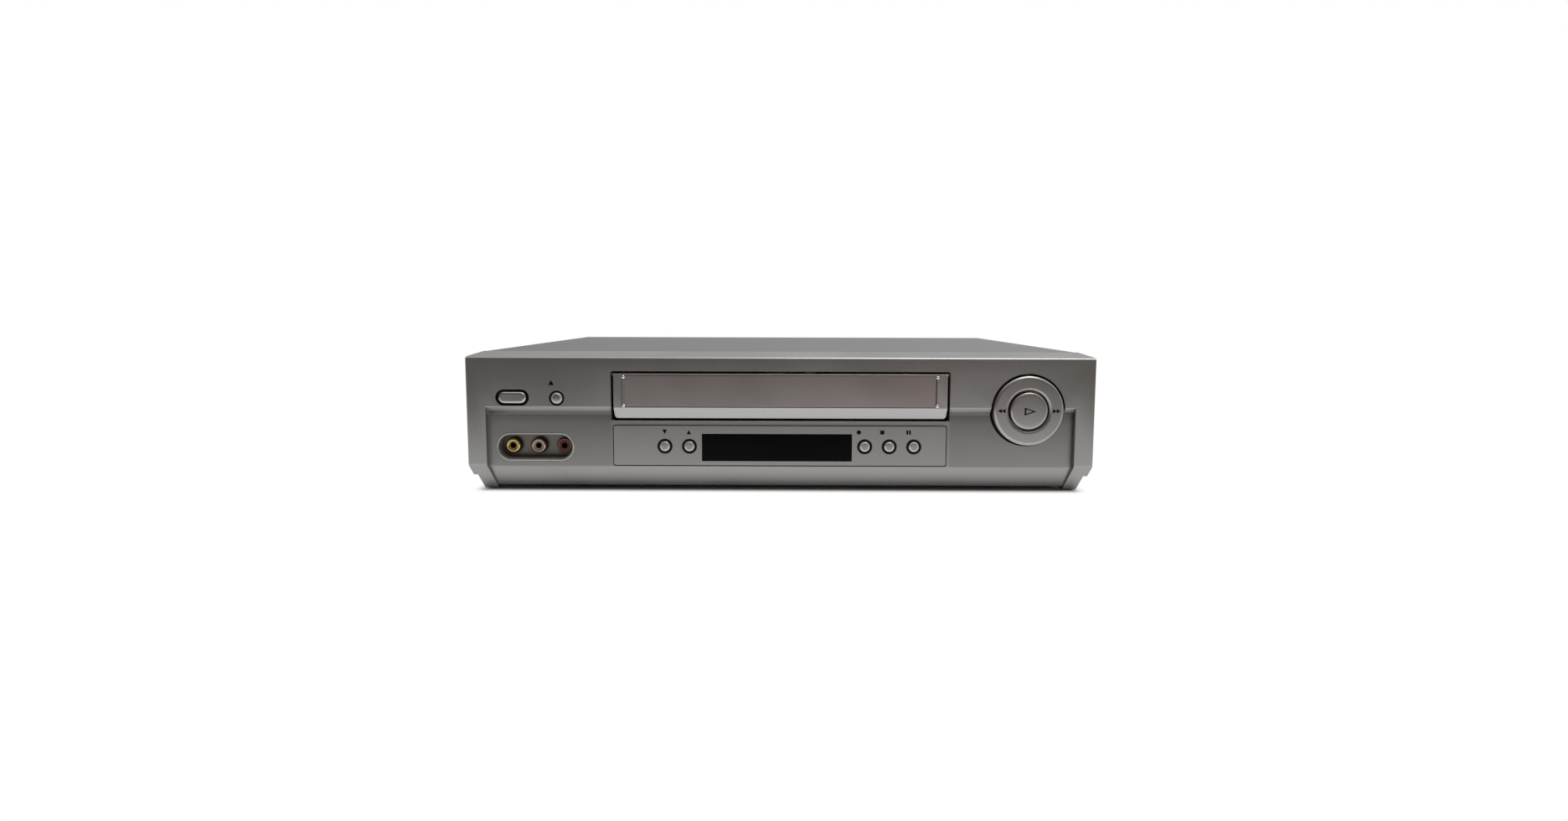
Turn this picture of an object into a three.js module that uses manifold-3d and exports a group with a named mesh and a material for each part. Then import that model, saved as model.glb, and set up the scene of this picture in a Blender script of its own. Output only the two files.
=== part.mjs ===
// A front-loading video cassette recorder, in millimetres, +Z up, with its front facing -Y.
// The pieces are drawn with y = 0 on the front face and y growing towards the back. The last
// group moves them so that the origin lies under the middle of the whole object.
import * as THREE from 'three';
import { mergeVertices } from 'three/addons/utils/BufferGeometryUtils.js';
import Module from 'manifold-3d';

const wasm = await Module();
wasm.setup();

// Case
const caseWidth = 360;
const caseHeight = 82.1;
const caseDepth = 268;
const seam = 0.3;
const overrun = 3;
const coverInset = 1.6;
const coverWall = 0.8;
const coverBend = 2;
const coverSideBottom = 5;
const ventCount = 8;
const ventWidth = 2.5;
const ventHeight = 22;
const ventPitch = 7;
const ventBottom = 34;
const ventSetback = 190;

// Front bezel
const bezelDepth = 25;
const bezelWall = 2.5;
const bezelTopDrop = 2;
const topEdgeBevel = 1.5;
const sideEdgeBevel = 1.6;
const pillarWidth = 10.6;
const pillarBendHeight = 17.2;
const footSetback = 18.4;
const sideNotchHeight = 10.3;
const sideNotchDepth = 2.3;
const stepHeight = 51.3;
const stepFall = 4.5;
const recessDepth = 4;
const chinHeight = 16.2;
const chinBottom = 2;
const chinSetback = 17.5;
const slopeWallShift = 1;
const boardPostRadius = 2.5;
const boardPostHeight = 56;

// Cassette door
const doorOpeningGap = 3.4;
const doorOpeningDrop = 8.4;
const doorOpeningBottom = 43;
const doorSideGap = 1.2;
const doorTopGap = 0.8;
const doorLipTop = 50.8;
const doorLipDepth = 4;
const doorLipFall = 6.6;
const doorWall = 2.2;
const doorHingeDepth = 1.8;
const doorHingeDrop = 0.7;
const doorPinRadius = 0.8;
const doorPinLength = 3.3;
const doorEarWidth = 3.6;
const doorEarDepth = 5;
const doorEarReach = 3.2;
const facingSideInset = 6.1;
const facingTopInset = 1.5;
const facingBottomInset = 0.8;
const facingThickness = 0.7;

// Door spring, wound round a peg of the bezel beside the opening
const springWire = 0.6;
const springRadius = 2.2;
const springTurns = 3;
const springPitch = 1.05;
const springPegRadius = 1.5;
const springPegLength = 7.5;
const springRib = { gap: 4.1, width: 2, front: 4, rear: 12 };
const springPegRise = 4.2;
const springPegDepth = 8;

// Control panel and display window
const panelLeftReach = 0.3;
const panelRightInset = 0.4;
const panelBottom = 16.3;
const panelTop = 40.4;
const panelFaceDepth = 3;
const panelWall = 2.5;
const panelRim = 1.5;
const panelFlangeReach = 2;
const panelFlangeThickness = 1.6;
const windowLeftInset = 52;
const windowRightInset = 55.3;
const windowBottom = 19.8;
const windowTop = 35.2;
const windowSink = 0.25;
const windowFlange = 1.2;
const windowFlangeThickness = 1;

// Push buttons
const roundHoleRadius = 3.95;
const roundCapRadius = 3.1;
const roundCapProud = 1.2;
const roundCapCrown = 0.6;
const roundButtonHeight = 28.2;
const roundButtonPitch = 14.2;
const programDownInset = 30.3;
const pauseInset = 19.2;
const ejectInset = 51.7;
const ejectHeight = 56.3;
const ejectHoleRadius = 4.2;
const ejectCapRadius = 3.2;
const powerInset = 26.2;
const powerHeight = 56.6;
const powerHole = { length: 18.8, height: 9 };
const powerCap = { length: 15.9, height: 6.6 };
const upperCapProud = 0.9;
const buttonFlangeReach = 0.9;
const buttonFlangeThickness = 1.2;
const buttonStemRadius = 1.5;
const buttonTravel = 0.8;
const switchFace = 10.5;
const switchSize = 6;

// Seek ring and play button
const ringInset = 37.9;
const ringHeight = 49.9;
const ringHoleRadius = 21.2;
const ringRadius = 20;
const ringBoreRadius = 11.6;
const ringProud = 2;
const ringBevel = 1.2;
const ringBack = 3;
const ringSkirtWall = 2;
const ringSkirtBack = 8.6;
const ringLugWidth = 4;
const ringLugThickness = 1.6;
const ringLugReach = 3.4;
const ringSwing = 17;
const playRadius = 10.65;
const playProud = 2.4;
const playCrown = 0.5;
const playFlangeReach = 2;
const playFlangeGap = 0.8;

// Front jack recess and its three input jacks
const jackRecessInset = 37.6;
const jackRecessMiddle = 27.4;
const jackRecessLength = 45.4;
const jackRecessHeight = 16.6;
const jackCupWall = 1.2;
const jackCupFloor = 11.5;
const jackCupFlange = 1.6;
const jackOffsets = [-14.4, 0.6, 15.8];
const jackHeight = 27.5;
const jackFace = 8;
const jackSleeveRadius = 4.15;
const jackBoreRadius = 1.7;
const jackCollarRadius = 4.65;
const jackCollarSink = 0.9;
const jackNeckRadius = 3.3;
const jackBodyRadius = 5;
const jackBack = 24;
const jackBoreDepth = 8;

// Front circuit board and display module
const boardThickness = 1.6;
const frontBoardFace = 14;
const frontBoardInset = 14;
const frontBoardPostMargin = 4.9;
const frontBoardBottom = 19;
const frontBoardTop = 41;
const frontBoardLeftTop = 62;
const frontBoardLeftBottom = 38.6;
const frontBoardRightTop = 72;
const frontBoardRightBottom = 27;
const displayDepth = 5.5;
const displayMargin = 1.5;

// Base frame and feet
const baseFloorBottom = 2.2;
const baseFloorThickness = 2.2;
const baseWall = 2;
const baseWallTop = 30;
const screwBossRadius = 4;
const screwBossLength = 6;
const screwPlace = { y: 72, z: 20 };
const screwHoleRadius = 1.5;
const screwShankRadius = 1.2;
const screwHeadRadius = 3.2;
const screwHeadHeight = 1.2;
const screwLength = 7;
const deckLegRadius = 3;
const deckLegInset = 12;
const deckLegRows = { front: 46, rear: 230 };
const standoffRadius = 3;
const standoffInset = 30;
const standoffRows = { front: 60, rear: 200 };
const footRadius = 8;
const footStemRadius = 2;
const footStemLength = 3.4;
const footInset = 22;
const footDepth = 246;

// Rear panel and what it carries
const rearPanelFront = 265;
const rearPanelThickness = 1.2;
const cutoutGap = 0.4;
const scartPlaces = [-78, -20];
const scartHeight = 30;
const scartWidth = 50;
const scartTall = 19;
const scartFront = 246;
const scartProud = 3;
const scartGroove = 2.2;
const scartWallThickness = 1.6;
const scartGrooveDepth = 8;
const scartCorner = 5;
const audioOutPlace = 35;
const audioOutHeights = [24, 44];
const audioOutBlock = { width: 16, bottom: 11, top: 56, front: 250 };
const audioOutRadius = 4.15;
const audioOutBore = 1.7;
const audioOutReach = 8.5;
const inletInset = 40;
const inletHeight = 24;
const inletWidth = 24;
const inletTall = 16;
const inletFront = 246;
const inletProud = 1.5;
const inletCavity = { width: 17, height: 8.4, depth: 12 };
const inletPinRadius = 1.2;
const inletPinSpacing = 6.7;
const inletPinSetback = 2.5;
const tunerInset = 16;
const tunerDeckGap = 22;
const tunerTop = 62;
const tunerFront = 196;
const tunerSocketPlaces = [24, 46];
const tunerSocketRadius = 5.2;
const tunerSocketBore = 4;
const tunerSocketPin = 1.2;
const tunerSocketReach = 9.5;
const tunerSocketBoreDepth = 8;

// Main circuit board with its transformer and capacitor
const mainBoardBottom = 9;
const mainBoardInset = 10;
const mainBoardFront = 40;
const mainBoardRear = 262;
const boardHoleGap = 0.6;
const transformerDeckGap = 12;
const transformerInset = 14;
const transformerFront = 172;
const transformerRear = 216;
const transformerHeight = 40;
const transformerCoilInset = 8;
const transformerCoilReach = 5;
const capacitorInset = 42;
const capacitorDepth = 140;
const capacitorRadius = 12.5;
const capacitorHeight = 36;
const capacitorRim = 1.5;

// Deck chassis and its carriage brackets
const deckBracketMargin = 2.8;
const deckPivotMargin = 10;
const deckFront = 38;
const deckRear = 238;
const deckBottom = 22;
const deckThickness = 1.4;
const bracketGap = 0.6;
const bracketThickness = 1.2;
const bracketFront = 40;
const bracketRear = 156;
const bracketTop = 73.7;

// Cassette carriage: slides back on the brackets, then sinks onto the reel tables
const cassetteWidth = 187;
const cassetteHeight = 25;
const cassetteSideClearance = 0.6;
const cassetteTopClearance = 1.1;
const cassetteRear = 151;
const carriageWall = 1;
const carriageDepth = 40;
const carriageLedge = 13;
const carriageLedgeTop = 45.4;
const carriageBridgeInset = 8;
const carriageTravel = 84;
const carriageDrop = 19;
const carriagePinRadius = 1.5;
const carriagePinHeight = 60;
const carriageSlotGap = 0.4;
const sliderWall = 1;
const sliderLegInset = 0.5;
const sliderLegWidth = 12;
const sliderLegMargin = 3;
const sliderOverhang = 1;

// Video head drum, leaning to the left
const drumPlace = { x: 0, y: 192 };
const drumRadius = 31;
const drumLeanDegrees = 6;
const drumSplit = 21;
const lowerDrumRoot = 6;
const upperDrumHeight = 16;
const drumBoreRadius = 4.2;
const drumSpindleRadius = 3.8;
const drumSpindleTop = 12;
const drumTopRecess = 4;
const drumRimWall = 6;

// Reel tables and idler
const reelPlace = { x: 46.75, y: 96 };
const reelRadius = 22;
const reelThickness = 2;
const reelHubRadius = 8;
const reelHubHeight = 5;
const reelSpindleRadius = 4.5;
const reelSpindleHeight = 14;
const reelBore = 1.8;
const deckPinRadius = 1.5;
const idlerPivot = { x: 0, y: 58 };
const idlerArmLength = 30;
const idlerRadius = 20;
const idlerArmWidth = 8;
const idlerArmThickness = 1;

// Capstan, pinch roller and tape guides
const capstanPlace = { x: 60, y: 170 };
const capstanRadius = 1.5;
const capstanTop = 54;
const capstanBore = 1.8;
const capstanSleeveRadius = 4.5;
const flywheelRadius = 27;
const flywheelBottom = 13;
const flywheelThickness = 6;
const statorRadius = 24;
const statorThickness = 1.4;
const pinchPivot = { x: 90, y: 180 };
const pinchSwingDegrees = 36;
const pinchRollerRadius = 7;
const pinchRollerBottom = 28;
const pinchRollerTop = 44;
const pinchArmWidth = 7;
const pinchArmThickness = 1.6;
const pinchArmBottom = 44.8;
const sledPlace = { x: 40, y: 160 };
const sledTravel = 36;
const sledSize = { width: 10, length: 14, height: 2.5 };
const guideRadius = 2.8;
const guideTop = 46;
const guideFlange = 1;
const guideFlangeHeight = 1.5;
const sledPinRadius = 2;
const deckSlotGap = 0.4;
const eraseHeadPlace = { x: -58, y: 172 };
const audioHeadPlace = { x: 56, y: 186 };
const headSize = { width: 10, length: 8, top: 44 };
const headBase = { width: 16, length: 12, height: 2 };
const tensionPivot = { x: -84, y: 178 };
const tensionArmLength = 18;
const tensionArmAngle = -60;
const tensionPinRadius = 1.5;
const tensionPinTop = 44;
const tensionArmRise = 7;

// Loading drive
const camPlace = { x: 76, y: 210 };
const camRadius = 15;
const camToothHeight = 1.5;
const camTeeth = 24;
const camThickness = 14;
const wormRadius = 3;
const wormLength = 12;
const wormShaftRadius = 1;
const wormShaftReach = 5;
const motorRadius = 10;
const motorLength = 20;
const motorSetback = 10;
const motorBase = { length: 14, height: 3 };

// How round the round pieces are
const smallSides = 10;
const middleSides = 16;
const largeSides = 32;
const springStepsPerTurn = 8;
const springSides = 5;
const bendSteps = 3;

// Places that follow from the sizes
const halfWidth = caseWidth / 2;
const pillarInner = halfWidth - pillarWidth;
const frontTop = caseHeight - bezelTopDrop;
const recessTop = stepHeight - stepFall;
const upperWallBack = bezelWall;
const lowerWallBack = recessDepth + bezelWall;
const coverHalfWidth = halfWidth - coverInset;
const coverFront = bezelDepth + seam;
const innerHalfWidth = coverHalfWidth - coverWall - seam;
const innerTop = caseHeight - coverWall - seam;
const baseFloorTop = baseFloorBottom + baseFloorThickness;
const rearPanelBack = rearPanelFront + rearPanelThickness;
const insideRear = rearPanelFront - seam;
const mainBoardTop = mainBoardBottom + boardThickness;
const onBoard = mainBoardTop + seam;
const deckTop = deckBottom + deckThickness;
const onDeck = deckTop + seam;
const stemEnd = switchFace - buttonTravel - seam;
const tensionArmTop = onDeck + tensionArmRise;
const doorOpeningHalfWidth = cassetteWidth / 2 + doorOpeningGap;
const doorOpeningTop = frontTop - doorOpeningDrop;
const doorTop = doorOpeningTop - doorTopGap;
const doorHalfWidth = doorOpeningHalfWidth - doorSideGap;
const doorHinge = { y: doorHingeDepth, z: doorTop - doorHingeDrop };
const facingHalfWidth = doorHalfWidth - facingSideInset;
const facingTop = doorTop - facingTopInset;
const facingBottom = doorLipTop + facingBottomInset;
const springRibStart = doorOpeningHalfWidth + springRib.gap;
const springPegHeight = doorHinge.z + springPegRise;
const panelWallBack = panelFaceDepth + panelWall;
const panelLeft = -doorOpeningHalfWidth - panelLeftReach;
const panelRight = doorOpeningHalfWidth - panelRightInset;
const windowLeft = panelLeft + windowLeftInset;
const windowRight = panelRight - windowRightInset;
const programDownPlace = panelLeft + programDownInset;
const programUpPlace = programDownPlace + roundButtonPitch;
const pausePlace = panelRight - pauseInset;
const stopPlace = pausePlace - roundButtonPitch;
const recordPlace = stopPlace - roundButtonPitch;
const ejectPlace = { x: ejectInset - halfWidth, z: ejectHeight };
const powerPlace = { x: powerInset - halfWidth, z: powerHeight };
const ringPlace = { x: halfWidth - ringInset, z: ringHeight };
const jackRecessPlace = { x: jackRecessInset - halfWidth, z: jackRecessMiddle };
const jackPlaces = jackOffsets.map((offset) => jackRecessPlace.x + offset);
const boardPostPlace = (doorOpeningHalfWidth + ringPlace.x - ringHoleRadius) / 2;
const frontBoardHalfWidth = halfWidth - frontBoardInset;
const frontBoardArmSide = boardPostPlace - frontBoardPostMargin;
const bracketInner = cassetteWidth / 2 + cassetteSideClearance + carriageWall + sliderLegInset
  + sliderWall + bracketGap;
const deckHalfWidth = Math.max(bracketInner + deckBracketMargin, pinchPivot.x + deckPivotMargin);
const deckLegPlaces = { x: deckHalfWidth - deckLegInset, ...deckLegRows };
const standoffPlaces = { x: halfWidth - standoffInset, ...standoffRows };
const footPlace = { x: halfWidth - footInset, y: footDepth };
const inletPlace = { x: halfWidth - inletInset, z: inletHeight };
const tunerLeft = tunerInset - halfWidth;
const tunerRight = -deckHalfWidth - tunerDeckGap;
const mainBoardHalfWidth = halfWidth - mainBoardInset;
const capacitorPlace = { x: halfWidth - capacitorInset, y: capacitorDepth };

// Outlines are drawn in the two directions that a view shows and run along the third
const xAxis = new THREE.Vector3(1, 0, 0);
const yAxis = new THREE.Vector3(0, 1, 0);
const zAxis = new THREE.Vector3(0, 0, 1);
const sideView = new THREE.Matrix4().makeBasis(yAxis, zAxis, xAxis);
const frontView = new THREE.Matrix4().makeBasis(xAxis, zAxis, yAxis.clone().negate());
const quarterTurn = Math.PI / 2;

function solidOf(geometry) {
  const bare = geometry.clone();
  bare.deleteAttribute('normal');
  bare.deleteAttribute('uv');
  const merged = mergeVertices(bare);
  const corners = merged.index.array;
  const kept = [];
  for (let i = 0; i < corners.length; i += 3) {
    const [a, b, c] = corners.slice(i, i + 3);
    if (a !== b && b !== c && c !== a) kept.push(a, b, c);
  }
  const vertProperties = new Float32Array(merged.attributes.position.array);
  const triVerts = new Uint32Array(kept);
  return new wasm.Manifold(new wasm.Mesh({ numProp: 3, vertProperties, triVerts }));
}

function shapeOf(outline) {
  if (outline instanceof THREE.Shape) return outline;
  return new THREE.Shape(outline.map(([u, v]) => new THREE.Vector2(u, v)));
}

function extrude(outline, low, high) {
  const options = { depth: high - low, bevelEnabled: false, curveSegments: middleSides / 2 };
  return new THREE.ExtrudeGeometry(shapeOf(outline), options).translate(0, 0, low);
}

function alongX(outline, low, high) {
  return solidOf(extrude(outline, low, high).applyMatrix4(sideView));
}

function alongY(outline, low, high) {
  return solidOf(extrude(outline, -high, -low).applyMatrix4(frontView));
}

function alongZ(outline, low, high) {
  return solidOf(extrude(outline, low, high));
}

function block([left, right], [front, rear], [bottom, top]) {
  const box = new THREE.BoxGeometry(right - left, rear - front, top - bottom);
  return solidOf(box.translate((left + right) / 2, (front + rear) / 2, (bottom + top) / 2));
}

// Turned shapes: an outline of radius and height, counter-clockwise, about one of the axes
function lathe(outline, sides) {
  return new THREE.LatheGeometry(outline.map(([radius, height]) => new THREE.Vector2(radius, height)), sides);
}

function turnedX(outline, { y, z }, sides) {
  return solidOf(lathe(outline, sides).rotateZ(-quarterTurn).translate(0, y, z));
}

function turnedY(outline, { x, z }, sides) {
  return solidOf(lathe(outline, sides).translate(x, 0, z));
}

function turnedZ(outline, { x, y }, sides) {
  return solidOf(lathe(outline, sides).rotateX(quarterTurn).translate(x, y, 0));
}

function rodOutline(radius, low, high) {
  return [[0, low], [radius, low], [radius, high], [0, high]];
}

function tubeOutline(bore, radius, low, high) {
  return [[bore, low], [radius, low], [radius, high], [bore, high], [bore, low]];
}

function pill(length, height, { x, z }) {
  const reach = (length - height) / 2;
  const shape = new THREE.Shape();
  shape.absarc(x + reach, z, height / 2, -quarterTurn, quarterTurn);
  shape.absarc(x - reach, z, height / 2, quarterTurn, quarterTurn * 3);
  return shape;
}

function arm(from, to, width) {
  const angle = Math.atan2(to.y - from.y, to.x - from.x);
  const shape = new THREE.Shape();
  shape.absarc(to.x, to.y, width / 2, angle - quarterTurn, angle + quarterTurn);
  shape.absarc(from.x, from.y, width / 2, angle + quarterTurn, angle + quarterTurn * 3);
  return shape;
}

function join(...solids) {
  return solids.reduce((whole, solid) => whole.add(solid));
}

function cut(solid, ...tools) {
  return tools.reduce((rest, tool) => rest.subtract(tool), solid);
}

function mirrorPair(make) {
  return [make(-1), make(1)];
}

function span(a, b) {
  return [Math.min(a, b), Math.max(a, b)];
}

// Paints, plastics and metals
const finishes = {
  silverPlastic: { color: 0x9b9c9e, roughness: 0.45, metalness: 0.2 },
  silverPaint: { color: 0x98999b, roughness: 0.5, metalness: 0.4 },
  buttonPlastic: { color: 0xa9aaac, roughness: 0.4, metalness: 0.2 },
  facing: { color: 0x9a959a, roughness: 0.25, metalness: 0.1 },
  windowBlack: { color: 0x060607, roughness: 0.12, metalness: 0 },
  blackPlastic: { color: 0x1c1c1e, roughness: 0.6, metalness: 0 },
  yellowPlastic: { color: 0xd9b32c, roughness: 0.45, metalness: 0 },
  whitePlastic: { color: 0xd8d4cc, roughness: 0.45, metalness: 0 },
  redPlastic: { color: 0x8f1d1a, roughness: 0.45, metalness: 0 },
  rubber: { color: 0x151516, roughness: 0.9, metalness: 0 },
  steel: { color: 0xb4b6b8, roughness: 0.4, metalness: 0.9 },
  zinc: { color: 0xa8a9a6, roughness: 0.5, metalness: 0.8 },
  aluminium: { color: 0xc4c6c8, roughness: 0.3, metalness: 0.9 },
  circuitBoard: { color: 0x8a7a3c, roughness: 0.6, metalness: 0 },
  copper: { color: 0xa8623a, roughness: 0.5, metalness: 0.6 },
  gearPlastic: { color: 0xd6d4cb, roughness: 0.5, metalness: 0 },
};

const recorder = new THREE.Group();

function addPiece(name, solid, finish) {
  const { vertProperties, triVerts } = solid.getMesh();
  const geometry = new THREE.BufferGeometry();
  geometry.setAttribute('position', new THREE.BufferAttribute(vertProperties, 3));
  geometry.setIndex(new THREE.BufferAttribute(triVerts, 1));
  geometry.computeVertexNormals();
  const piece = new THREE.Mesh(geometry, new THREE.MeshStandardMaterial(finishes[finish]));
  piece.name = name;
  recorder.add(piece);
}

// Top cover: a sheet-metal lid over the top and both sides
function hoodOutline(half, top, bend, bottom) {
  const left = [];
  for (let step = 0; step <= bendSteps; step += 1) {
    const angle = (step / bendSteps) * quarterTurn;
    left.push([-half + bend * (1 - Math.cos(angle)), top - bend * (1 - Math.sin(angle))]);
  }
  const right = left.map(([x, z]) => [-x, z]).reverse();
  return [[-half, bottom], ...left, ...right, [half, bottom]];
}

function makeTopCover() {
  const outer = hoodOutline(coverHalfWidth, caseHeight, coverBend, coverSideBottom);
  const inner = hoodOutline(coverHalfWidth - coverWall, caseHeight - coverWall, coverBend - coverWall,
    coverSideBottom - overrun);
  const slots = [];
  for (let index = 0; index < ventCount; index += 1) {
    const front = ventSetback + index * ventPitch;
    slots.push(block([-halfWidth, halfWidth], [front, front + ventWidth],
      [ventBottom, ventBottom + ventHeight]));
  }
  const screwHoles = turnedX(rodOutline(screwHoleRadius + seam, -halfWidth, halfWidth), screwPlace,
    smallSides);
  return cut(alongY(outer, coverFront, caseDepth), alongY(inner, coverFront - overrun, caseDepth + overrun),
    screwHoles, ...slots);
}

// Front bezel: a hollow moulding with a stepped face, two pillars and the front feet
function makeBezelShell() {
  const outer = alongX([
    [0, pillarBendHeight], [footSetback, 0], [bezelDepth, 0], [bezelDepth, caseHeight],
    [topEdgeBevel, frontTop], [0, frontTop - topEdgeBevel],
  ], -halfWidth, halfWidth);
  const face = alongX([
    [-overrun, stepHeight], [0, stepHeight], [recessDepth, recessTop], [recessDepth, chinHeight],
    [chinSetback, chinBottom], [bezelDepth + overrun, chinBottom], [bezelDepth + overrun, -overrun],
    [-overrun, -overrun],
  ], -pillarInner, pillarInner);
  const notches = mirrorPair((side) => block(
    span(side * (halfWidth - sideNotchDepth), side * (halfWidth + overrun)),
    [-overrun, bezelDepth + overrun], [-overrun, sideNotchHeight]));
  const bevels = mirrorPair((side) => alongY([
    [side * (halfWidth - sideEdgeBevel), caseHeight],
    [side * (halfWidth + overrun), caseHeight - sideEdgeBevel - overrun],
    [side * (halfWidth + overrun), caseHeight + overrun],
    [side * (halfWidth - sideEdgeBevel), caseHeight + overrun],
  ], -overrun, bezelDepth + overrun));
  return cut(outer, face, makeBezelHollow(), ...notches, ...bevels);
}

function makeBezelHollow() {
  const hollowHalfWidth = halfWidth - bezelWall;
  const hollow = alongX([
    [upperWallBack, frontTop - bezelWall], [bezelDepth + overrun, caseHeight - bezelWall],
    [bezelDepth + overrun, chinBottom + bezelWall], [chinSetback + slopeWallShift, chinBottom + bezelWall],
    [lowerWallBack, chinHeight + slopeWallShift], [lowerWallBack, recessTop - slopeWallShift],
    [upperWallBack, stepHeight - slopeWallShift],
  ], -hollowHalfWidth, hollowHalfWidth);
  const keptCorners = mirrorPair((side) => block(
    span(side * (hollowHalfWidth - sideNotchDepth), side * (halfWidth + overrun)),
    [0, bezelDepth + overrun + overrun], [0, sideNotchHeight + bezelWall]));
  return cut(hollow, ...keptCorners);
}

function makeDoorEar(side) {
  const inner = side * doorOpeningHalfWidth;
  return block(span(inner, inner + side * doorEarWidth), [upperWallBack / 2, doorEarDepth],
    [doorHinge.z - doorEarReach, doorHinge.z + doorEarReach]);
}

function makeSpringPeg() {
  const ribEnd = -(springRibStart + springRib.width);
  const rib = block([ribEnd, -springRibStart], [springRib.front, springRib.rear],
    [springPegHeight - springPegRadius, frontTop - bezelWall / 2]);
  const peg = turnedX(rodOutline(springPegRadius, ribEnd - springPegLength, -springRibStart),
    { y: springPegDepth, z: springPegHeight }, smallSides);
  return join(rib, peg);
}

function makeFrontBezel() {
  const posts = mirrorPair((side) => turnedY(
    rodOutline(boardPostRadius, bezelWall / 2, frontBoardFace - seam),
    { x: side * boardPostPlace, z: boardPostHeight }, smallSides));
  const whole = join(makeBezelShell(), ...posts, ...mirrorPair(makeDoorEar), makeSpringPeg());
  const through = [-overrun, lowerWallBack + doorEarDepth];
  const pinHoleReach = doorHalfWidth + doorPinLength + seam;
  return cut(whole,
    block([-doorOpeningHalfWidth, doorOpeningHalfWidth], through, [doorOpeningBottom, doorOpeningTop]),
    turnedX(rodOutline(doorPinRadius + seam, -pinHoleReach, pinHoleReach), doorHinge, smallSides),
    block([panelLeft, panelRight], through, [panelBottom, panelTop]),
    alongY(pill(powerHole.length, powerHole.height, powerPlace), ...through),
    turnedY(rodOutline(ejectHoleRadius, ...through), ejectPlace, middleSides),
    turnedY(rodOutline(ringHoleRadius, ...through), ringPlace, largeSides),
    alongY(pill(jackRecessLength, jackRecessHeight, jackRecessPlace), ...through));
}

// Cassette door: a flap with a slanted lip, hung on two pins at its top edge
function makeCassetteDoor() {
  const lipLength = Math.hypot(doorLipDepth, doorLipFall);
  const lipBack = {
    y: doorLipDepth + doorWall * doorLipFall / lipLength,
    z: doorLipTop - doorLipFall + doorWall * doorLipDepth / lipLength,
  };
  const bendRise = doorWall * (lipLength - doorLipDepth) / doorLipFall;
  const flap = alongX([
    [0, doorTop], [0, doorLipTop], [doorLipDepth, doorLipTop - doorLipFall], [lipBack.y, lipBack.z],
    [doorWall, doorLipTop + bendRise], [doorWall, doorTop],
  ], -doorHalfWidth, doorHalfWidth);
  const pinReach = doorHalfWidth + doorPinLength;
  const pins = mirrorPair((side) => turnedX(
    rodOutline(doorPinRadius, ...span(side * (doorHalfWidth - doorPinLength), side * pinReach)),
    doorHinge, smallSides));
  const pocket = block([-facingHalfWidth - seam, facingHalfWidth + seam], [-overrun, facingThickness + seam],
    [facingBottom - seam, facingTop + seam]);
  return cut(join(flap, ...pins), pocket);
}

function makeDoorFacing() {
  return block([-facingHalfWidth, facingHalfWidth], [0, facingThickness], [facingBottom, facingTop]);
}

class SpringPath extends THREE.Curve {
  getPoint(share) {
    const start = -(springRibStart + springRib.width) - springRadius / 2;
    const turn = share * springTurns * Math.PI * 2;
    return new THREE.Vector3(start - share * springTurns * springPitch,
      springPegDepth + springRadius * Math.cos(turn), springPegHeight + springRadius * Math.sin(turn));
  }
}

function makeDoorSpring() {
  const section = new THREE.Shape().absarc(0, 0, springWire / 2, 0, Math.PI * 2);
  const coil = new THREE.ExtrudeGeometry(section, {
    steps: springTurns * springStepsPerTurn, curveSegments: springSides, bevelEnabled: false,
    extrudePath: new SpringPath(),
  });
  return solidOf(coil);
}

// Control panel insert and display window
function makeControlPanel() {
  const [left, right] = [panelLeft + seam, panelRight - seam];
  const [bottom, top] = [panelBottom + seam, panelTop - seam];
  const flangeFront = lowerWallBack + seam;
  const back = flangeFront + panelFlangeThickness;
  const plate = block([left, right], [panelFaceDepth, back], [bottom, top]);
  const flange = block([left - panelFlangeReach, right + panelFlangeReach], [flangeFront, back],
    [bottom + panelFlangeReach, top]);
  const hollow = block([left + panelRim, right - panelRim], [panelWallBack, back + overrun],
    [bottom + panelRim, top - panelRim]);
  const windowHole = block([windowLeft - seam, windowRight + seam], [0, panelWallBack + overrun],
    [windowBottom - seam, windowTop + seam]);
  const holes = [programDownPlace, programUpPlace, recordPlace, stopPlace, pausePlace].map((x) => turnedY(
    rodOutline(roundHoleRadius, 0, panelWallBack + overrun), { x, z: roundButtonHeight }, middleSides));
  return cut(join(plate, flange), hollow, windowHole, ...holes);
}

function makeDisplayWindow() {
  const flangeFront = panelWallBack + seam;
  const flangeBack = flangeFront + windowFlangeThickness;
  return join(
    block([windowLeft, windowRight], [panelFaceDepth + windowSink, flangeBack], [windowBottom, windowTop]),
    block([windowLeft - windowFlange, windowRight + windowFlange], [flangeFront, flangeBack],
      [windowBottom - windowFlange, windowTop + windowFlange]));
}

// Push buttons: a crowned cap, a flange behind the wall and a stem that reaches its switch
const crownShares = [[0, 0], [0.55, 0.15], [0.85, 0.55], [1, 1]];

function capOutline(radius, face, crown, flangeRadius, flangeFront) {
  const flangeBack = flangeFront + buttonFlangeThickness;
  return [
    ...crownShares.map(([across, down]) => [radius * across, face + crown * down]),
    [radius, flangeFront], [flangeRadius, flangeFront], [flangeRadius, flangeBack],
    [buttonStemRadius, flangeBack], [buttonStemRadius, stemEnd], [0, stemEnd],
  ];
}

function makeRoundButton(x) {
  const outline = capOutline(roundCapRadius, panelFaceDepth - roundCapProud, roundCapCrown,
    roundHoleRadius + buttonFlangeReach, panelWallBack + seam);
  return turnedY(outline, { x, z: roundButtonHeight }, middleSides);
}

function makeEjectButton() {
  const outline = capOutline(ejectCapRadius, -upperCapProud, roundCapCrown,
    ejectHoleRadius + buttonFlangeReach, upperWallBack + seam);
  return turnedY(outline, ejectPlace, middleSides);
}

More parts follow.
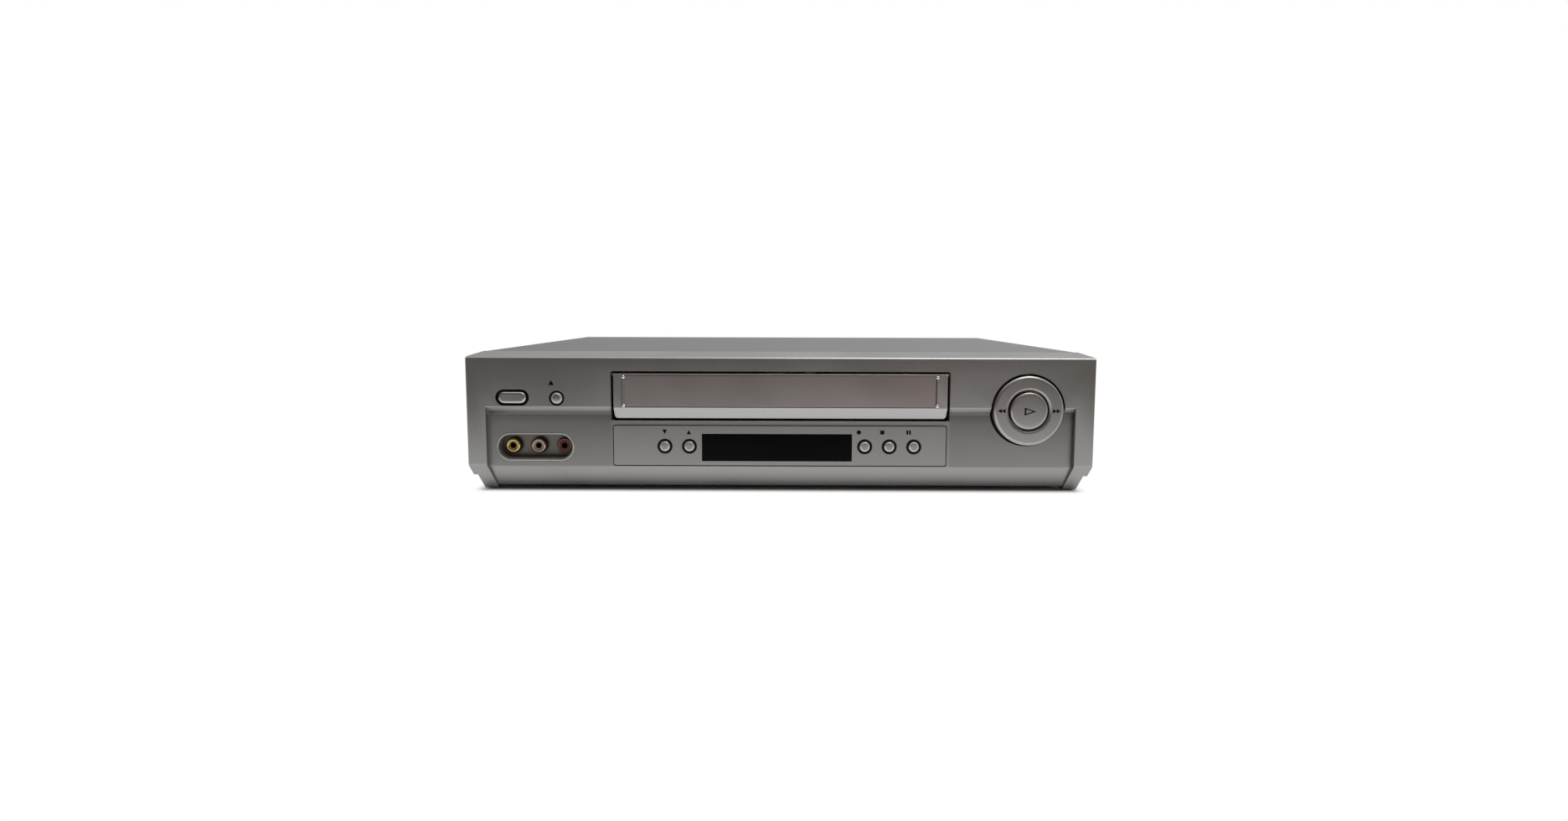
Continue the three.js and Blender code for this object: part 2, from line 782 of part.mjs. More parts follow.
function makePowerButton() {
  const flangeFront = upperWallBack + seam;
  const flangeBack = flangeFront + buttonFlangeThickness;
  const flange = pill(powerHole.length + buttonFlangeReach * 2,
    powerHole.height + buttonFlangeReach * 2, powerPlace);
  return join(
    alongY(pill(powerCap.length - roundCapCrown, powerCap.height - roundCapCrown, powerPlace),
      -upperCapProud, flangeFront + seam),
    alongY(pill(powerCap.length, powerCap.height, powerPlace),
      roundCapCrown - upperCapProud, flangeFront + seam),
    alongY(flange, flangeFront, flangeBack),
    turnedY(rodOutline(buttonStemRadius, flangeFront, stemEnd), powerPlace, smallSides));
}

function makePlayButton() {
  return turnedY(capOutline(playRadius, -playProud, playCrown, ringBoreRadius + playFlangeReach,
    ringBack + playFlangeGap), ringPlace, largeSides);
}

// Seek ring: rocks about an upright axis on lugs behind the bezel
function makeSeekRing() {
  const front = -ringProud;
  const inner = ringRadius - ringSkirtWall;
  const ring = turnedY([
    [ringBoreRadius, ringBack], [ringBoreRadius, front + ringBevel], [ringBoreRadius + ringBevel, front],
    [ringRadius - ringBevel, front], [ringRadius, front + ringBevel], [ringRadius, ringSkirtBack],
    [inner, ringSkirtBack], [inner, ringBack], [ringBoreRadius, ringBack],
  ], ringPlace, largeSides);
  const lugs = mirrorPair((side) => block(
    [ringPlace.x - ringLugWidth / 2, ringPlace.x + ringLugWidth / 2],
    [ringSkirtBack - ringLugThickness, ringSkirtBack],
    span(ringPlace.z + side * (inner + ringSkirtWall / 2),
      ringPlace.z + side * (ringRadius + ringLugReach))));
  return join(ring, ...lugs);
}

// Front input jacks in their recess
function makeJackHousing() {
  const [length, height] = [jackRecessLength - seam * 2, jackRecessHeight - seam * 2];
  const back = jackCupFloor + jackCupWall;
  const flangeFront = lowerWallBack + seam;
  const cup = alongY(pill(length, height, jackRecessPlace), recessDepth + seam, back);
  const flange = alongY(pill(length + jackCupFlange * 2, height + jackCupFlange * 2, jackRecessPlace),
    flangeFront, flangeFront + jackCupWall);
  const hollow = alongY(pill(length - jackCupWall * 2, height - jackCupWall * 2, jackRecessPlace),
    0, jackCupFloor);
  const holes = jackPlaces.map((x) => turnedY(
    rodOutline(jackNeckRadius + seam, jackCupFloor - overrun, back + overrun),
    { x, z: jackHeight }, middleSides));
  return cut(join(cup, flange), hollow, ...holes);
}

function makeInputJack(x) {
  const collarBack = jackCupFloor - seam;
  const bodyFront = jackCupFloor + jackCupWall + seam;
  const boreFloor = jackFace + jackBoreDepth;
  return turnedY([
    [0, boreFloor], [jackBoreRadius, boreFloor], [jackBoreRadius, jackFace], [jackSleeveRadius, jackFace],
    [jackSleeveRadius, jackFace + jackCollarSink], [jackCollarRadius, jackFace + jackCollarSink],
    [jackCollarRadius, collarBack], [jackNeckRadius, collarBack], [jackNeckRadius, bodyFront],
    [jackBodyRadius, bodyFront], [jackBodyRadius, jackBack], [0, jackBack],
  ], { x, z: jackHeight }, middleSides);
}

// Front circuit board with a push switch behind every button, and the display in front of it
function makeFrontBoard() {
  const back = frontBoardFace + boardThickness;
  const board = alongY([
    [-frontBoardArmSide, frontBoardBottom], [frontBoardArmSide, frontBoardBottom],
    [frontBoardArmSide, frontBoardRightBottom], [frontBoardHalfWidth, frontBoardRightBottom],
    [frontBoardHalfWidth, frontBoardRightTop], [frontBoardArmSide, frontBoardRightTop],
    [frontBoardArmSide, frontBoardTop], [-frontBoardArmSide, frontBoardTop],
    [-frontBoardArmSide, frontBoardLeftTop], [-frontBoardHalfWidth, frontBoardLeftTop],
    [-frontBoardHalfWidth, frontBoardLeftBottom], [-frontBoardArmSide, frontBoardLeftBottom],
  ], frontBoardFace, back);
  const rounds = [programDownPlace, programUpPlace, recordPlace, stopPlace, pausePlace];
  const places = [
    ...rounds.map((x) => ({ x, z: roundButtonHeight })), ejectPlace, powerPlace, ringPlace,
    ...mirrorPair((side) => ({ x: ringPlace.x + side * ringSwing, z: ringPlace.z })),
  ];
  const switches = places.map(({ x, z }) => block([x - switchSize / 2, x + switchSize / 2],
    [switchFace, frontBoardFace + boardThickness / 2], [z - switchSize / 2, z + switchSize / 2]));
  return join(board, ...switches);
}

function makeDisplayModule() {
  const back = frontBoardFace - seam;
  return block([windowLeft + displayMargin, windowRight - displayMargin], [back - displayDepth, back],
    [windowBottom, windowTop]);
}

// Base frame: floor, side walls, screw bosses, board stand-offs and deck legs
function cornerPlaces({ x, front, rear }) {
  return [-x, x].flatMap((across) => [front, rear].map((y) => ({ x: across, y })));
}

function makeBaseFrame() {
  const floor = block([-innerHalfWidth, innerHalfWidth], [coverFront, rearPanelBack + seam],
    [baseFloorBottom, baseFloorTop]);
  const walls = mirrorPair((side) => block(span(side * (innerHalfWidth - baseWall), side * innerHalfWidth),
    [coverFront, insideRear], [baseFloorBottom, baseWallTop]));
  const bossEnd = innerHalfWidth - baseWall - screwBossLength;
  const bosses = mirrorPair((side) => turnedX(
    rodOutline(screwBossRadius, ...span(side * bossEnd, side * (innerHalfWidth - baseWall / 2))),
    screwPlace, smallSides));
  const legs = cornerPlaces(deckLegPlaces).map((place) => turnedZ(
    rodOutline(deckLegRadius, baseFloorBottom + seam, deckBottom - seam), place, smallSides));
  const standoffs = cornerPlaces(standoffPlaces).map((place) => turnedZ(
    rodOutline(standoffRadius, baseFloorBottom + seam, mainBoardBottom - seam), place, smallSides));
  const footHoles = mirrorPair((side) => turnedZ(
    rodOutline(footStemRadius + seam, 0, baseFloorTop + overrun), { x: side * footPlace.x, y: footPlace.y },
    smallSides));
  return cut(join(floor, ...walls, ...bosses, ...legs, ...standoffs), ...footHoles,
    turnedX(rodOutline(screwHoleRadius, -halfWidth, halfWidth), screwPlace, smallSides));
}

function makeFoot(side) {
  const pad = baseFloorBottom - seam;
  return turnedZ([
    [0, 0], [footRadius, 0], [footRadius, pad], [footStemRadius, pad], [footStemRadius, pad + footStemLength],
    [0, pad + footStemLength],
  ], { x: side * footPlace.x, y: footPlace.y }, middleSides);
}

function makeCoverScrew(side) {
  const head = coverHalfWidth + seam / 2;
  const outer = head + screwHeadHeight;
  const outline = [
    [0, outer - screwLength - screwHeadHeight], [screwShankRadius, outer - screwLength - screwHeadHeight],
    [screwShankRadius, head], [screwHeadRadius, head], [screwHeadRadius, head + screwHeadHeight / 2],
    [screwHeadRadius / 2, outer], [0, outer],
  ];
  const screw = turnedX(outline, screwPlace, smallSides);
  return side > 0 ? screw : screw.mirror([1, 0, 0]);
}

// Rear panel with a cut-out for each connector
function scartOutline(place, inset) {
  const half = scartWidth / 2 - inset;
  const rise = scartTall / 2 - inset;
  return [
    [place - half, scartHeight - rise], [place + half - scartCorner, scartHeight - rise],
    [place + half, scartHeight - rise + scartCorner], [place + half, scartHeight + rise],
    [place - half, scartHeight + rise],
  ];
}

function inletOutline(grow) {
  return pill(inletWidth + grow * 2, inletTall + grow * 2, inletPlace);
}

function makeRearPanel() {
  const plate = alongY(hoodOutline(innerHalfWidth, innerTop, coverBend - coverWall, baseFloorTop + seam),
    rearPanelFront, rearPanelBack);
  const through = [rearPanelFront - overrun, rearPanelBack + overrun];
  const tunerMiddle = (tunerLeft + tunerRight) / 2;
  return cut(plate,
    ...scartPlaces.map((place) => alongY(scartOutline(place, -cutoutGap), ...through)),
    alongY(inletOutline(cutoutGap), ...through),
    ...audioOutHeights.map((z) => turnedY(
      rodOutline(audioOutRadius + cutoutGap, ...through), { x: audioOutPlace, z }, middleSides)),
    ...tunerSocketPlaces.map((z) => turnedY(
      rodOutline(tunerSocketRadius + cutoutGap, ...through), { x: tunerMiddle, z }, middleSides)));
}

// Connectors on the main board that reach out through the rear panel
function makeScartSocket(place) {
  const back = rearPanelBack + scartProud;
  const shell = alongY(scartOutline(place, 0), scartFront, back);
  const pins = block([place - scartWidth / 2 + scartCorner, place + scartWidth / 2 - scartCorner],
    [scartFront, insideRear], [onBoard, scartHeight]);
  const grooveInset = scartWallThickness + scartGroove;
  const groove = cut(alongY(scartOutline(place, scartWallThickness), back - scartGrooveDepth, back + overrun),
    alongY(scartOutline(place, grooveInset), back - scartGrooveDepth - overrun, back + overrun + overrun));
  return cut(join(shell, pins), groove);
}

function makeAudioOutputs() {
  const { width, bottom, top, front } = audioOutBlock;
  const end = rearPanelBack + audioOutReach;
  const body = block([audioOutPlace - width / 2, audioOutPlace + width / 2], [front, insideRear],
    [bottom, top]);
  const sleeves = audioOutHeights.map((z) => turnedY(
    rodOutline(audioOutRadius, front + overrun, end), { x: audioOutPlace, z }, middleSides));
  const bores = audioOutHeights.map((z) => turnedY(
    rodOutline(audioOutBore, end - tunerSocketBoreDepth, end + overrun),
    { x: audioOutPlace, z }, smallSides));
  return cut(join(body, ...sleeves), ...bores);
}

function makeMainsInlet() {
  const back = rearPanelBack + inletProud;
  const { width, height, depth } = inletCavity;
  const body = join(alongY(inletOutline(0), inletFront, back),
    block([inletPlace.x - width / 2, inletPlace.x + width / 2], [inletFront, insideRear],
      [onBoard, inletPlace.z]));
  const cavity = alongY(pill(width, height, inletPlace), back - depth, back + overrun);
  const pins = mirrorPair((side) => turnedY(
    rodOutline(inletPinRadius, back - depth - overrun, back - inletPinSetback),
    { x: inletPlace.x + side * inletPinSpacing / 2, z: inletPlace.z }, smallSides));
  return join(cut(body, cavity), ...pins);
}

function makeTuner() {
  const end = rearPanelBack + tunerSocketReach;
  const middle = (tunerLeft + tunerRight) / 2;
  const can = block([tunerLeft, tunerRight], [tunerFront, insideRear], [onBoard, tunerTop]);
  const sockets = tunerSocketPlaces.map((z) => turnedY(
    rodOutline(tunerSocketRadius, insideRear - overrun, end), { x: middle, z }, middleSides));
  const bores = tunerSocketPlaces.map((z) => turnedY(
    tubeOutline(tunerSocketPin, tunerSocketBore, end - tunerSocketBoreDepth, end + overrun),
    { x: middle, z }, middleSides));
  return cut(join(can, ...sockets), ...bores);
}

// Main circuit board, transformer and capacitor
function makeMainBoard() {
  const board = block([-mainBoardHalfWidth, mainBoardHalfWidth], [mainBoardFront, mainBoardRear],
    [mainBoardBottom, mainBoardTop]);
  const holes = cornerPlaces(deckLegPlaces).map((place) => turnedZ(
    rodOutline(deckLegRadius + boardHoleGap, 0, onBoard), place, smallSides));
  return cut(board, ...holes);
}

function makeTransformer() {
  const left = deckHalfWidth + transformerDeckGap;
  const right = halfWidth - transformerInset;
  const top = onBoard + transformerHeight;
  const coil = transformerCoilInset;
  const coilFront = transformerFront - transformerCoilReach;
  const coilRear = transformerRear + transformerCoilReach;
  return join(block([left, right], [transformerFront, transformerRear], [onBoard, top]),
    block([left + coil, right - coil], [coilFront, coilRear], [onBoard + coil, top - coil]));
}

function makeFilterCapacitor() {
  const top = onBoard + capacitorHeight;
  return turnedZ([
    [0, onBoard], [capacitorRadius - capacitorRim, onBoard], [capacitorRadius, onBoard + capacitorRim],
    [capacitorRadius, top - capacitorRim], [capacitorRadius - capacitorRim, top], [0, top],
  ], capacitorPlace, middleSides);
}

// Deck chassis: the plate that carries the mechanism, with its fixed pins
const drumRoot = { x: drumPlace.x, y: drumPlace.y, z: onDeck };
const wormHeight = onDeck + motorRadius;
const wormPlace = { y: camPlace.y + camRadius + camToothHeight + seam + wormRadius, z: wormHeight };
const reelPlaces = { supply: { x: -reelPlace.x, y: reelPlace.y }, takeUp: reelPlace };

function makeDeckChassis() {
  const plate = block([-deckHalfWidth, deckHalfWidth], [deckFront, deckRear], [deckBottom, deckTop]);
  const pinTops = [
    [reelPlaces.supply, onDeck + reelHubHeight], [reelPlaces.takeUp, onDeck + reelHubHeight],
    [idlerPivot, onDeck + idlerArmThickness], [pinchPivot, pinchArmBottom + pinchArmThickness],
    [tensionPivot, tensionArmTop], [camPlace, onDeck + camThickness],
  ];
  const pins = pinTops.map(([place, top]) => turnedZ(
    rodOutline(deckPinRadius, deckBottom + seam, top), place, smallSides));
  const through = [deckBottom - overrun, deckTop + overrun];
  const half = sledPinRadius + deckSlotGap;
  const slots = mirrorPair((side) => block([side * sledPlace.x - half, side * sledPlace.x + half],
    [sledPlace.y - half, sledPlace.y + sledTravel + half], through));
  const sleeveHole = turnedZ(rodOutline(capstanSleeveRadius + deckSlotGap, ...through), capstanPlace,
    middleSides);
  return cut(join(plate, ...pins), ...slots, sleeveHole);
}

// Carriage brackets with the L-shaped slots that guide the carriage back and then down
const carriageMiddle = cassetteRear + carriageWall - carriageDepth / 2;
const slotHalf = carriagePinRadius + carriageSlotGap;

function makeBracket(side) {
  const sheet = span(side * bracketInner, side * (bracketInner + bracketThickness));
  const beyond = span(side * (bracketInner - overrun), side * (bracketInner + bracketThickness + overrun));
  const plate = block(sheet, [bracketFront, bracketRear], [onDeck, bracketTop]);
  const level = block(beyond, [carriageMiddle - carriageTravel - slotHalf, carriageMiddle + slotHalf],
    [carriagePinHeight - slotHalf, carriagePinHeight + slotHalf]);
  const upright = block(beyond, [carriageMiddle - slotHalf, carriageMiddle + slotHalf],
    [carriagePinHeight - carriageDrop - slotHalf, carriagePinHeight]);
  return cut(plate, level, upright);
}

function makeCarriageSlider() {
  const carriageOuter = cassetteWidth / 2 + cassetteSideClearance + carriageWall;
  const legInner = carriageOuter + sliderLegInset;
  const legOuter = legInner + sliderWall;
  const ySpan = [carriageMiddle - sliderLegWidth / 2, carriageMiddle + sliderLegWidth / 2];
  const bridgeHalf = bracketInner + bracketThickness + sliderOverhang;
  const bridgeBottom = bracketTop + seam;
  const bridge = block([-bridgeHalf, bridgeHalf], ySpan, [bridgeBottom, bridgeBottom + sliderWall]);
  const slotBottom = carriagePinHeight - carriageDrop - slotHalf;
  const legs = mirrorPair((side) => block(span(side * legInner, side * legOuter), ySpan,
    [slotBottom - sliderLegMargin, bridgeBottom + sliderWall / 2]));
  const slot = block([-legOuter - overrun, legOuter + overrun],
    [carriageMiddle - slotHalf, carriageMiddle + slotHalf], [slotBottom, carriagePinHeight + slotHalf]);
  return cut(join(bridge, ...legs), slot);
}

function makeCassetteCarriage() {
  const inner = cassetteWidth / 2 + cassetteSideClearance;
  const outer = inner + carriageWall;
  const ySpan = [carriageMiddle - carriageDepth / 2, carriageMiddle + carriageDepth / 2];
  const bottom = carriageLedgeTop - carriageWall;
  const ceiling = carriageLedgeTop + cassetteHeight + cassetteTopClearance;
  const top = ceiling + carriageWall;
  const pinEnd = bracketInner + bracketThickness + sliderOverhang / 2;
  const sides = mirrorPair((side) => join(
    block(span(side * inner, side * outer), ySpan, [bottom, top]),
    block(span(side * (inner - carriageLedge), side * outer), ySpan, [bottom, carriageLedgeTop]),
    block(span(side * (inner - carriageLedge / 3), side * outer), [cassetteRear, ySpan[1]], [bottom, top]),
    turnedX(rodOutline(carriagePinRadius, ...span(side * inner, side * pinEnd)),
      { y: carriageMiddle, z: carriagePinHeight }, smallSides)));
  const bridge = block([-outer, outer],
    [ySpan[0] + carriageBridgeInset, ySpan[1] - carriageBridgeInset], [ceiling, top]);
  return cut(join(bridge, ...sides), block([-inner, inner], [ySpan[0] - overrun, cassetteRear],
    [carriageLedgeTop, ceiling]));
}

// Drum: a fixed lower half on the deck and a spinning upper half, both leaning to the left
function leanDrum(outline, sides) {
  const geometry = lathe(outline, sides).rotateX(quarterTurn).rotateY(-drumLeanDegrees * Math.PI / 180);
  return solidOf(geometry.translate(drumRoot.x, drumRoot.y, drumRoot.z));
}

function makeLowerDrum() {
  const low = -lowerDrumRoot;
  const leaning = leanDrum([
    [0, low], [drumRadius, low], [drumRadius, drumSplit], [drumSpindleRadius, drumSplit],
    [drumSpindleRadius, drumSplit + drumSpindleTop], [0, drumSplit + drumSpindleTop],
  ], largeSides);
  const reach = drumRadius * 2;
  return cut(leaning, block([drumRoot.x - reach, drumRoot.x + reach],
    [drumRoot.y - reach, drumRoot.y + reach], [drumRoot.z - reach, drumRoot.z]));
}

function makeUpperDrum() {
  const low = drumSplit + seam;
  const high = low + upperDrumHeight;
  return leanDrum([
    [drumBoreRadius, low], [drumRadius, low], [drumRadius, high], [drumRadius - drumRimWall, high],
    [drumRadius - drumRimWall, high - drumTopRecess], [drumBoreRadius, high - drumTopRecess],
    [drumBoreRadius, low],
  ], largeSides);
}

// Reel tables and the idler that drives one or the other
function makeReelTable(place) {
  const boreTop = onDeck + reelHubHeight + seam;
  const hubTop = onDeck + reelHubHeight;
  const top = onDeck + reelSpindleHeight;
  return turnedZ([
    [0, boreTop], [reelBore, boreTop], [reelBore, onDeck], [reelRadius, onDeck],
    [reelRadius, onDeck + reelThickness], [reelHubRadius, onDeck + reelThickness], [reelHubRadius, hubTop],
    [reelSpindleRadius, hubTop], [reelSpindleRadius, top - reelSpindleRadius / 2],
    [reelSpindleRadius / 2, top], [0, top],
  ], place, middleSides);
}

const idlerCentre = { x: idlerPivot.x, y: idlerPivot.y + idlerArmLength };
const idlerArmTop = onDeck + idlerArmThickness;
const idlerGearTop = onDeck + reelThickness + seam;

function makeIdlerArm() {
  const plate = alongZ(arm(idlerPivot, idlerCentre, idlerArmWidth), onDeck, idlerArmTop);
  const axle = turnedZ(rodOutline(deckPinRadius, onDeck + seam, idlerGearTop), idlerCentre, smallSides);
  const pivotHole = turnedZ(rodOutline(reelBore, onDeck - overrun, idlerArmTop + overrun), idlerPivot,
    smallSides);
  return cut(join(plate, axle), pivotHole);
}

function makeIdlerGear() {
  return turnedZ(tubeOutline(reelBore, idlerRadius, idlerArmTop + seam, idlerGearTop), idlerCentre,
    largeSides);
}

// Capstan motor and flywheel
function makeCapstanMotor() {
  const top = deckBottom - seam;
  const bottom = top - statorThickness;
  const sleeveTop = pinchRollerBottom - seam;
  return turnedZ([
    [capstanBore, bottom], [statorRadius, bottom], [statorRadius, top], [capstanSleeveRadius, top],
    [capstanSleeveRadius, sleeveTop], [capstanBore, sleeveTop], [capstanBore, bottom],
  ], capstanPlace, largeSides);
}

function makeCapstanFlywheel() {
  const top = flywheelBottom + flywheelThickness;
  return turnedZ([
    [0, flywheelBottom], [flywheelRadius, flywheelBottom], [flywheelRadius, top], [capstanRadius, top],
    [capstanRadius, capstanTop], [0, capstanTop],
  ], capstanPlace, largeSides);
}

// Pinch arm: its length lets the roller swing to within a seam of the capstan
function pinchRest() {
  const [dx, dy] = [capstanPlace.x - pinchPivot.x, capstanPlace.y - pinchPivot.y];
  const length = Math.hypot(dx, dy) - pinchRollerRadius - capstanRadius - seam;
  const angle = Math.atan2(dy, dx) + pinchSwingDegrees * Math.PI / 180;
  return { x: pinchPivot.x + length * Math.cos(angle), y: pinchPivot.y + length * Math.sin(angle) };
}

const pinchPlace = pinchRest();
const pinchArmTop = pinchArmBottom + pinchArmThickness;

function makePinchArm() {
  const plate = alongZ(arm(pinchPivot, pinchPlace, pinchArmWidth), pinchArmBottom, pinchArmTop);
  const hub = turnedZ(rodOutline(pinchArmWidth / 2, onDeck, pinchArmBottom + seam), pinchPivot, smallSides);
  const axleFoot = pinchRollerBottom - seam;
  const axle = turnedZ([
    [0, axleFoot - pinchArmThickness], [pinchArmWidth / 2, axleFoot - pinchArmThickness],
    [pinchArmWidth / 2, axleFoot], [deckPinRadius, axleFoot], [deckPinRadius, pinchArmBottom + seam],
    [0, pinchArmBottom + seam],
  ], pinchPlace, smallSides);
  const pivotHole = turnedZ(rodOutline(reelBore, onDeck - overrun, pinchArmTop + overrun), pinchPivot,
    smallSides);
  return cut(join(plate, hub, axle), pivotHole);
}

function makePinchRoller() {
  return turnedZ(tubeOutline(reelBore, pinchRollerRadius, pinchRollerBottom, pinchRollerTop),
    pinchPlace, middleSides);
}

// Tension arm
function makeTensionArm() {
  const angle = tensionArmAngle * Math.PI / 180;
  const end = {
    x: tensionPivot.x + tensionArmLength * Math.cos(angle),
    y: tensionPivot.y + tensionArmLength * Math.sin(angle),
  };
  const bottom = tensionArmTop - pinchArmThickness;
  const plate = alongZ(arm(tensionPivot, end, pinchArmWidth), bottom, tensionArmTop);
  const hub = turnedZ(rodOutline(pinchArmWidth / 2, onDeck, tensionArmTop - seam), tensionPivot, smallSides);
  const pin = turnedZ(rodOutline(tensionPinRadius, bottom + seam, tensionPinTop), end, smallSides);
  const pivotHole = turnedZ(rodOutline(reelBore, onDeck - overrun, tensionArmTop + overrun), tensionPivot,
    smallSides);
  return cut(join(plate, hub, pin), pivotHole);
}

// Tape heads and the two guides that draw the tape round the drum
function makeHead(place) {
  const base = block([place.x - headBase.width / 2, place.x + headBase.width / 2],
    [place.y - headBase.length / 2, place.y + headBase.length / 2], [onDeck, onDeck + headBase.height]);
  const head = block([place.x - headSize.width / 2, place.x + headSize.width / 2],
    [place.y - headSize.length / 2, place.y + headSize.length / 2], [onDeck + seam, headSize.top]);
  return join(base, head);
}

function makeGuideSled(side) {
  const place = { x: side * sledPlace.x, y: sledPlace.y };
  const { width, length, height } = sledSize;
  const sledTop = onDeck + height;
  const flange = guideRadius + guideFlange;
  const sled = block([place.x - width / 2, place.x + width / 2],
    [place.y - length / 2, place.y + length / 2], [onDeck, sledTop]);
  const guide = turnedZ([
    [0, deckBottom], [sledPinRadius, deckBottom], [sledPinRadius, onDeck + seam], [flange, onDeck + seam],
    [flange, sledTop + guideFlangeHeight], [guideRadius, sledTop + guideFlangeHeight],
    [guideRadius, guideTop - guideFlangeHeight], [flange, guideTop - guideFlangeHeight], [flange, guideTop],
    [0, guideTop],
  ], place, smallSides);
  return join(sled, guide);
}

// Loading drive: a worm on the motor's shaft turns the cam gear
function makeCamGear() {
  const teeth = [];
  const toothShares = [[0, 0], [0.2, 1], [0.5, 1], [0.7, 0]];
  for (let tooth = 0; tooth < camTeeth; tooth += 1) {
    for (const [around, out] of toothShares) {
      const angle = (tooth + around) / camTeeth * Math.PI * 2;
      const radius = camRadius + out * camToothHeight;
      teeth.push([camPlace.x + radius * Math.cos(angle), camPlace.y + radius * Math.sin(angle)]);
    }
  }
  const top = onDeck + camThickness;
  const bore = turnedZ(rodOutline(reelBore, onDeck - overrun, top + overrun), camPlace, smallSides);
  return cut(alongZ(teeth, onDeck, top), bore);
}

const wormEnd = camPlace.x - wormLength / 2;
const motorEnd = wormEnd - motorSetback;

function makeLoadingWorm() {
  return turnedX([
    [0, motorEnd - wormShaftReach], [wormShaftRadius, motorEnd - wormShaftReach], [wormShaftRadius, wormEnd],
    [wormRadius, wormEnd], [wormRadius, wormEnd + wormLength], [0, wormEnd + wormLength],
  ], wormPlace, smallSides);
}

function makeLoadingMotor() {
  const barrel = turnedX(rodOutline(motorRadius, motorEnd - motorLength, motorEnd), wormPlace, middleSides);
  const middle = motorEnd - motorLength / 2;
  const saddle = block([middle - motorBase.length / 2, middle + motorBase.length / 2],
    [wormPlace.y - motorRadius / 2, wormPlace.y + motorRadius / 2], [onDeck, onDeck + motorBase.height]);
  const bore = turnedX(rodOutline(wormShaftRadius + seam, motorEnd - wormShaftReach - seam, motorEnd + overrun),
    wormPlace, smallSides);
  return cut(join(barrel, saddle), bore);
}

// Assembly
addPiece('top_cover', makeTopCover(), 'silverPaint');
addPiece('front_bezel', makeFrontBezel(), 'silverPlastic');
addPiece('cassette_door', makeCassetteDoor(), 'silverPlastic');
addPiece('door_facing', makeDoorFacing(), 'facing');
addPiece('door_spring', makeDoorSpring(), 'steel');
addPiece('control_panel', makeControlPanel(), 'silverPlastic');
addPiece('display_window', makeDisplayWindow(), 'windowBlack');
addPiece('program_down_button', makeRoundButton(programDownPlace), 'buttonPlastic');
addPiece('program_up_button', makeRoundButton(programUpPlace), 'buttonPlastic');
addPiece('record_button', makeRoundButton(recordPlace), 'buttonPlastic');
addPiece('stop_button', makeRoundButton(stopPlace), 'buttonPlastic');
addPiece('pause_button', makeRoundButton(pausePlace), 'buttonPlastic');
addPiece('eject_button', makeEjectButton(), 'buttonPlastic');
addPiece('power_button', makePowerButton(), 'buttonPlastic');
addPiece('seek_ring', makeSeekRing(), 'buttonPlastic');
addPiece('play_button', makePlayButton(), 'buttonPlastic');
addPiece('front_jack_housing', makeJackHousing(), 'blackPlastic');
addPiece('video_in_jack', makeInputJack(jackPlaces[0]), 'yellowPlastic');
addPiece('audio_left_in_jack', makeInputJack(jackPlaces[1]), 'whitePlastic');
addPiece('audio_right_in_jack', makeInputJack(jackPlaces[2]), 'redPlastic');
addPiece('front_circuit_board', makeFrontBoard(), 'circuitBoard');
addPiece('display_module', makeDisplayModule(), 'windowBlack');
addPiece('base_frame', makeBaseFrame(), 'zinc');
addPiece('rear_foot_left', makeFoot(-1), 'rubber');
addPiece('rear_foot_right', makeFoot(1), 'rubber');
addPiece('cover_screw_left', makeCoverScrew(-1), 'steel');
addPiece('cover_screw_right', makeCoverScrew(1), 'steel');
addPiece('rear_panel', makeRearPanel(), 'zinc');
addPiece('scart_socket_1', makeScartSocket(scartPlaces[0]), 'blackPlastic');
addPiece('scart_socket_2', makeScartSocket(scartPlaces[1]), 'blackPlastic');
addPiece('audio_output_jacks', makeAudioOutputs(), 'blackPlastic');
addPiece('ac_inlet', makeMainsInlet(), 'blackPlastic');
addPiece('tuner_module', makeTuner(), 'steel');
addPiece('main_circuit_board', makeMainBoard(), 'circuitBoard');
addPiece('power_transformer', makeTransformer(), 'copper');
addPiece('filter_capacitor', makeFilterCapacitor(), 'aluminium');
addPiece('deck_chassis', makeDeckChassis(), 'zinc');
addPiece('left_bracket', makeBracket(-1), 'zinc');
addPiece('right_bracket', makeBracket(1), 'zinc');
addPiece('carriage_slider', makeCarriageSlider(), 'zinc');
addPiece('cassette_carriage', makeCassetteCarriage(), 'zinc');
addPiece('lower_drum', makeLowerDrum(), 'aluminium');
addPiece('upper_drum', makeUpperDrum(), 'aluminium');
addPiece('supply_reel_table', makeReelTable(reelPlaces.supply), 'gearPlastic');
addPiece('take_up_reel_table', makeReelTable(reelPlaces.takeUp), 'gearPlastic');
addPiece('idler_arm', makeIdlerArm(), 'zinc');
addPiece('idler_gear', makeIdlerGear(), 'gearPlastic');
addPiece('capstan_motor', makeCapstanMotor(), 'zinc');
addPiece('capstan_flywheel', makeCapstanFlywheel(), 'steel');
addPiece('pinch_arm', makePinchArm(), 'zinc');
addPiece('pinch_roller', makePinchRoller(), 'rubber');
addPiece('tension_arm', makeTensionArm(), 'zinc');
addPiece('full_erase_head', makeHead(eraseHeadPlace), 'steel');
addPiece('audio_control_head', makeHead(audioHeadPlace), 'steel');
addPiece('supply_guide_sled', makeGuideSled(-1), 'gearPlastic');
addPiece('take_up_guide_sled', makeGuideSled(1), 'gearPlastic');
addPiece('cam_gear', makeCamGear(), 'gearPlastic');
addPiece('loading_worm', makeLoadingWorm(), 'gearPlastic');
addPiece('loading_motor', makeLoadingMotor(), 'steel');

// The sockets reach furthest back and the play button furthest forward
recorder.position.y = (playProud - rearPanelBack - tunerSocketReach) / 2;

export default recorder;
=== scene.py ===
# A front-loading video cassette recorder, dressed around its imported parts.
# Sizes are in millimetres until point() turns them into metres; x runs to the right, y back from
# the front face and z up from the surface that the recorder stands on.
import math
import bpy
import bmesh
from mathutils import Matrix, Vector


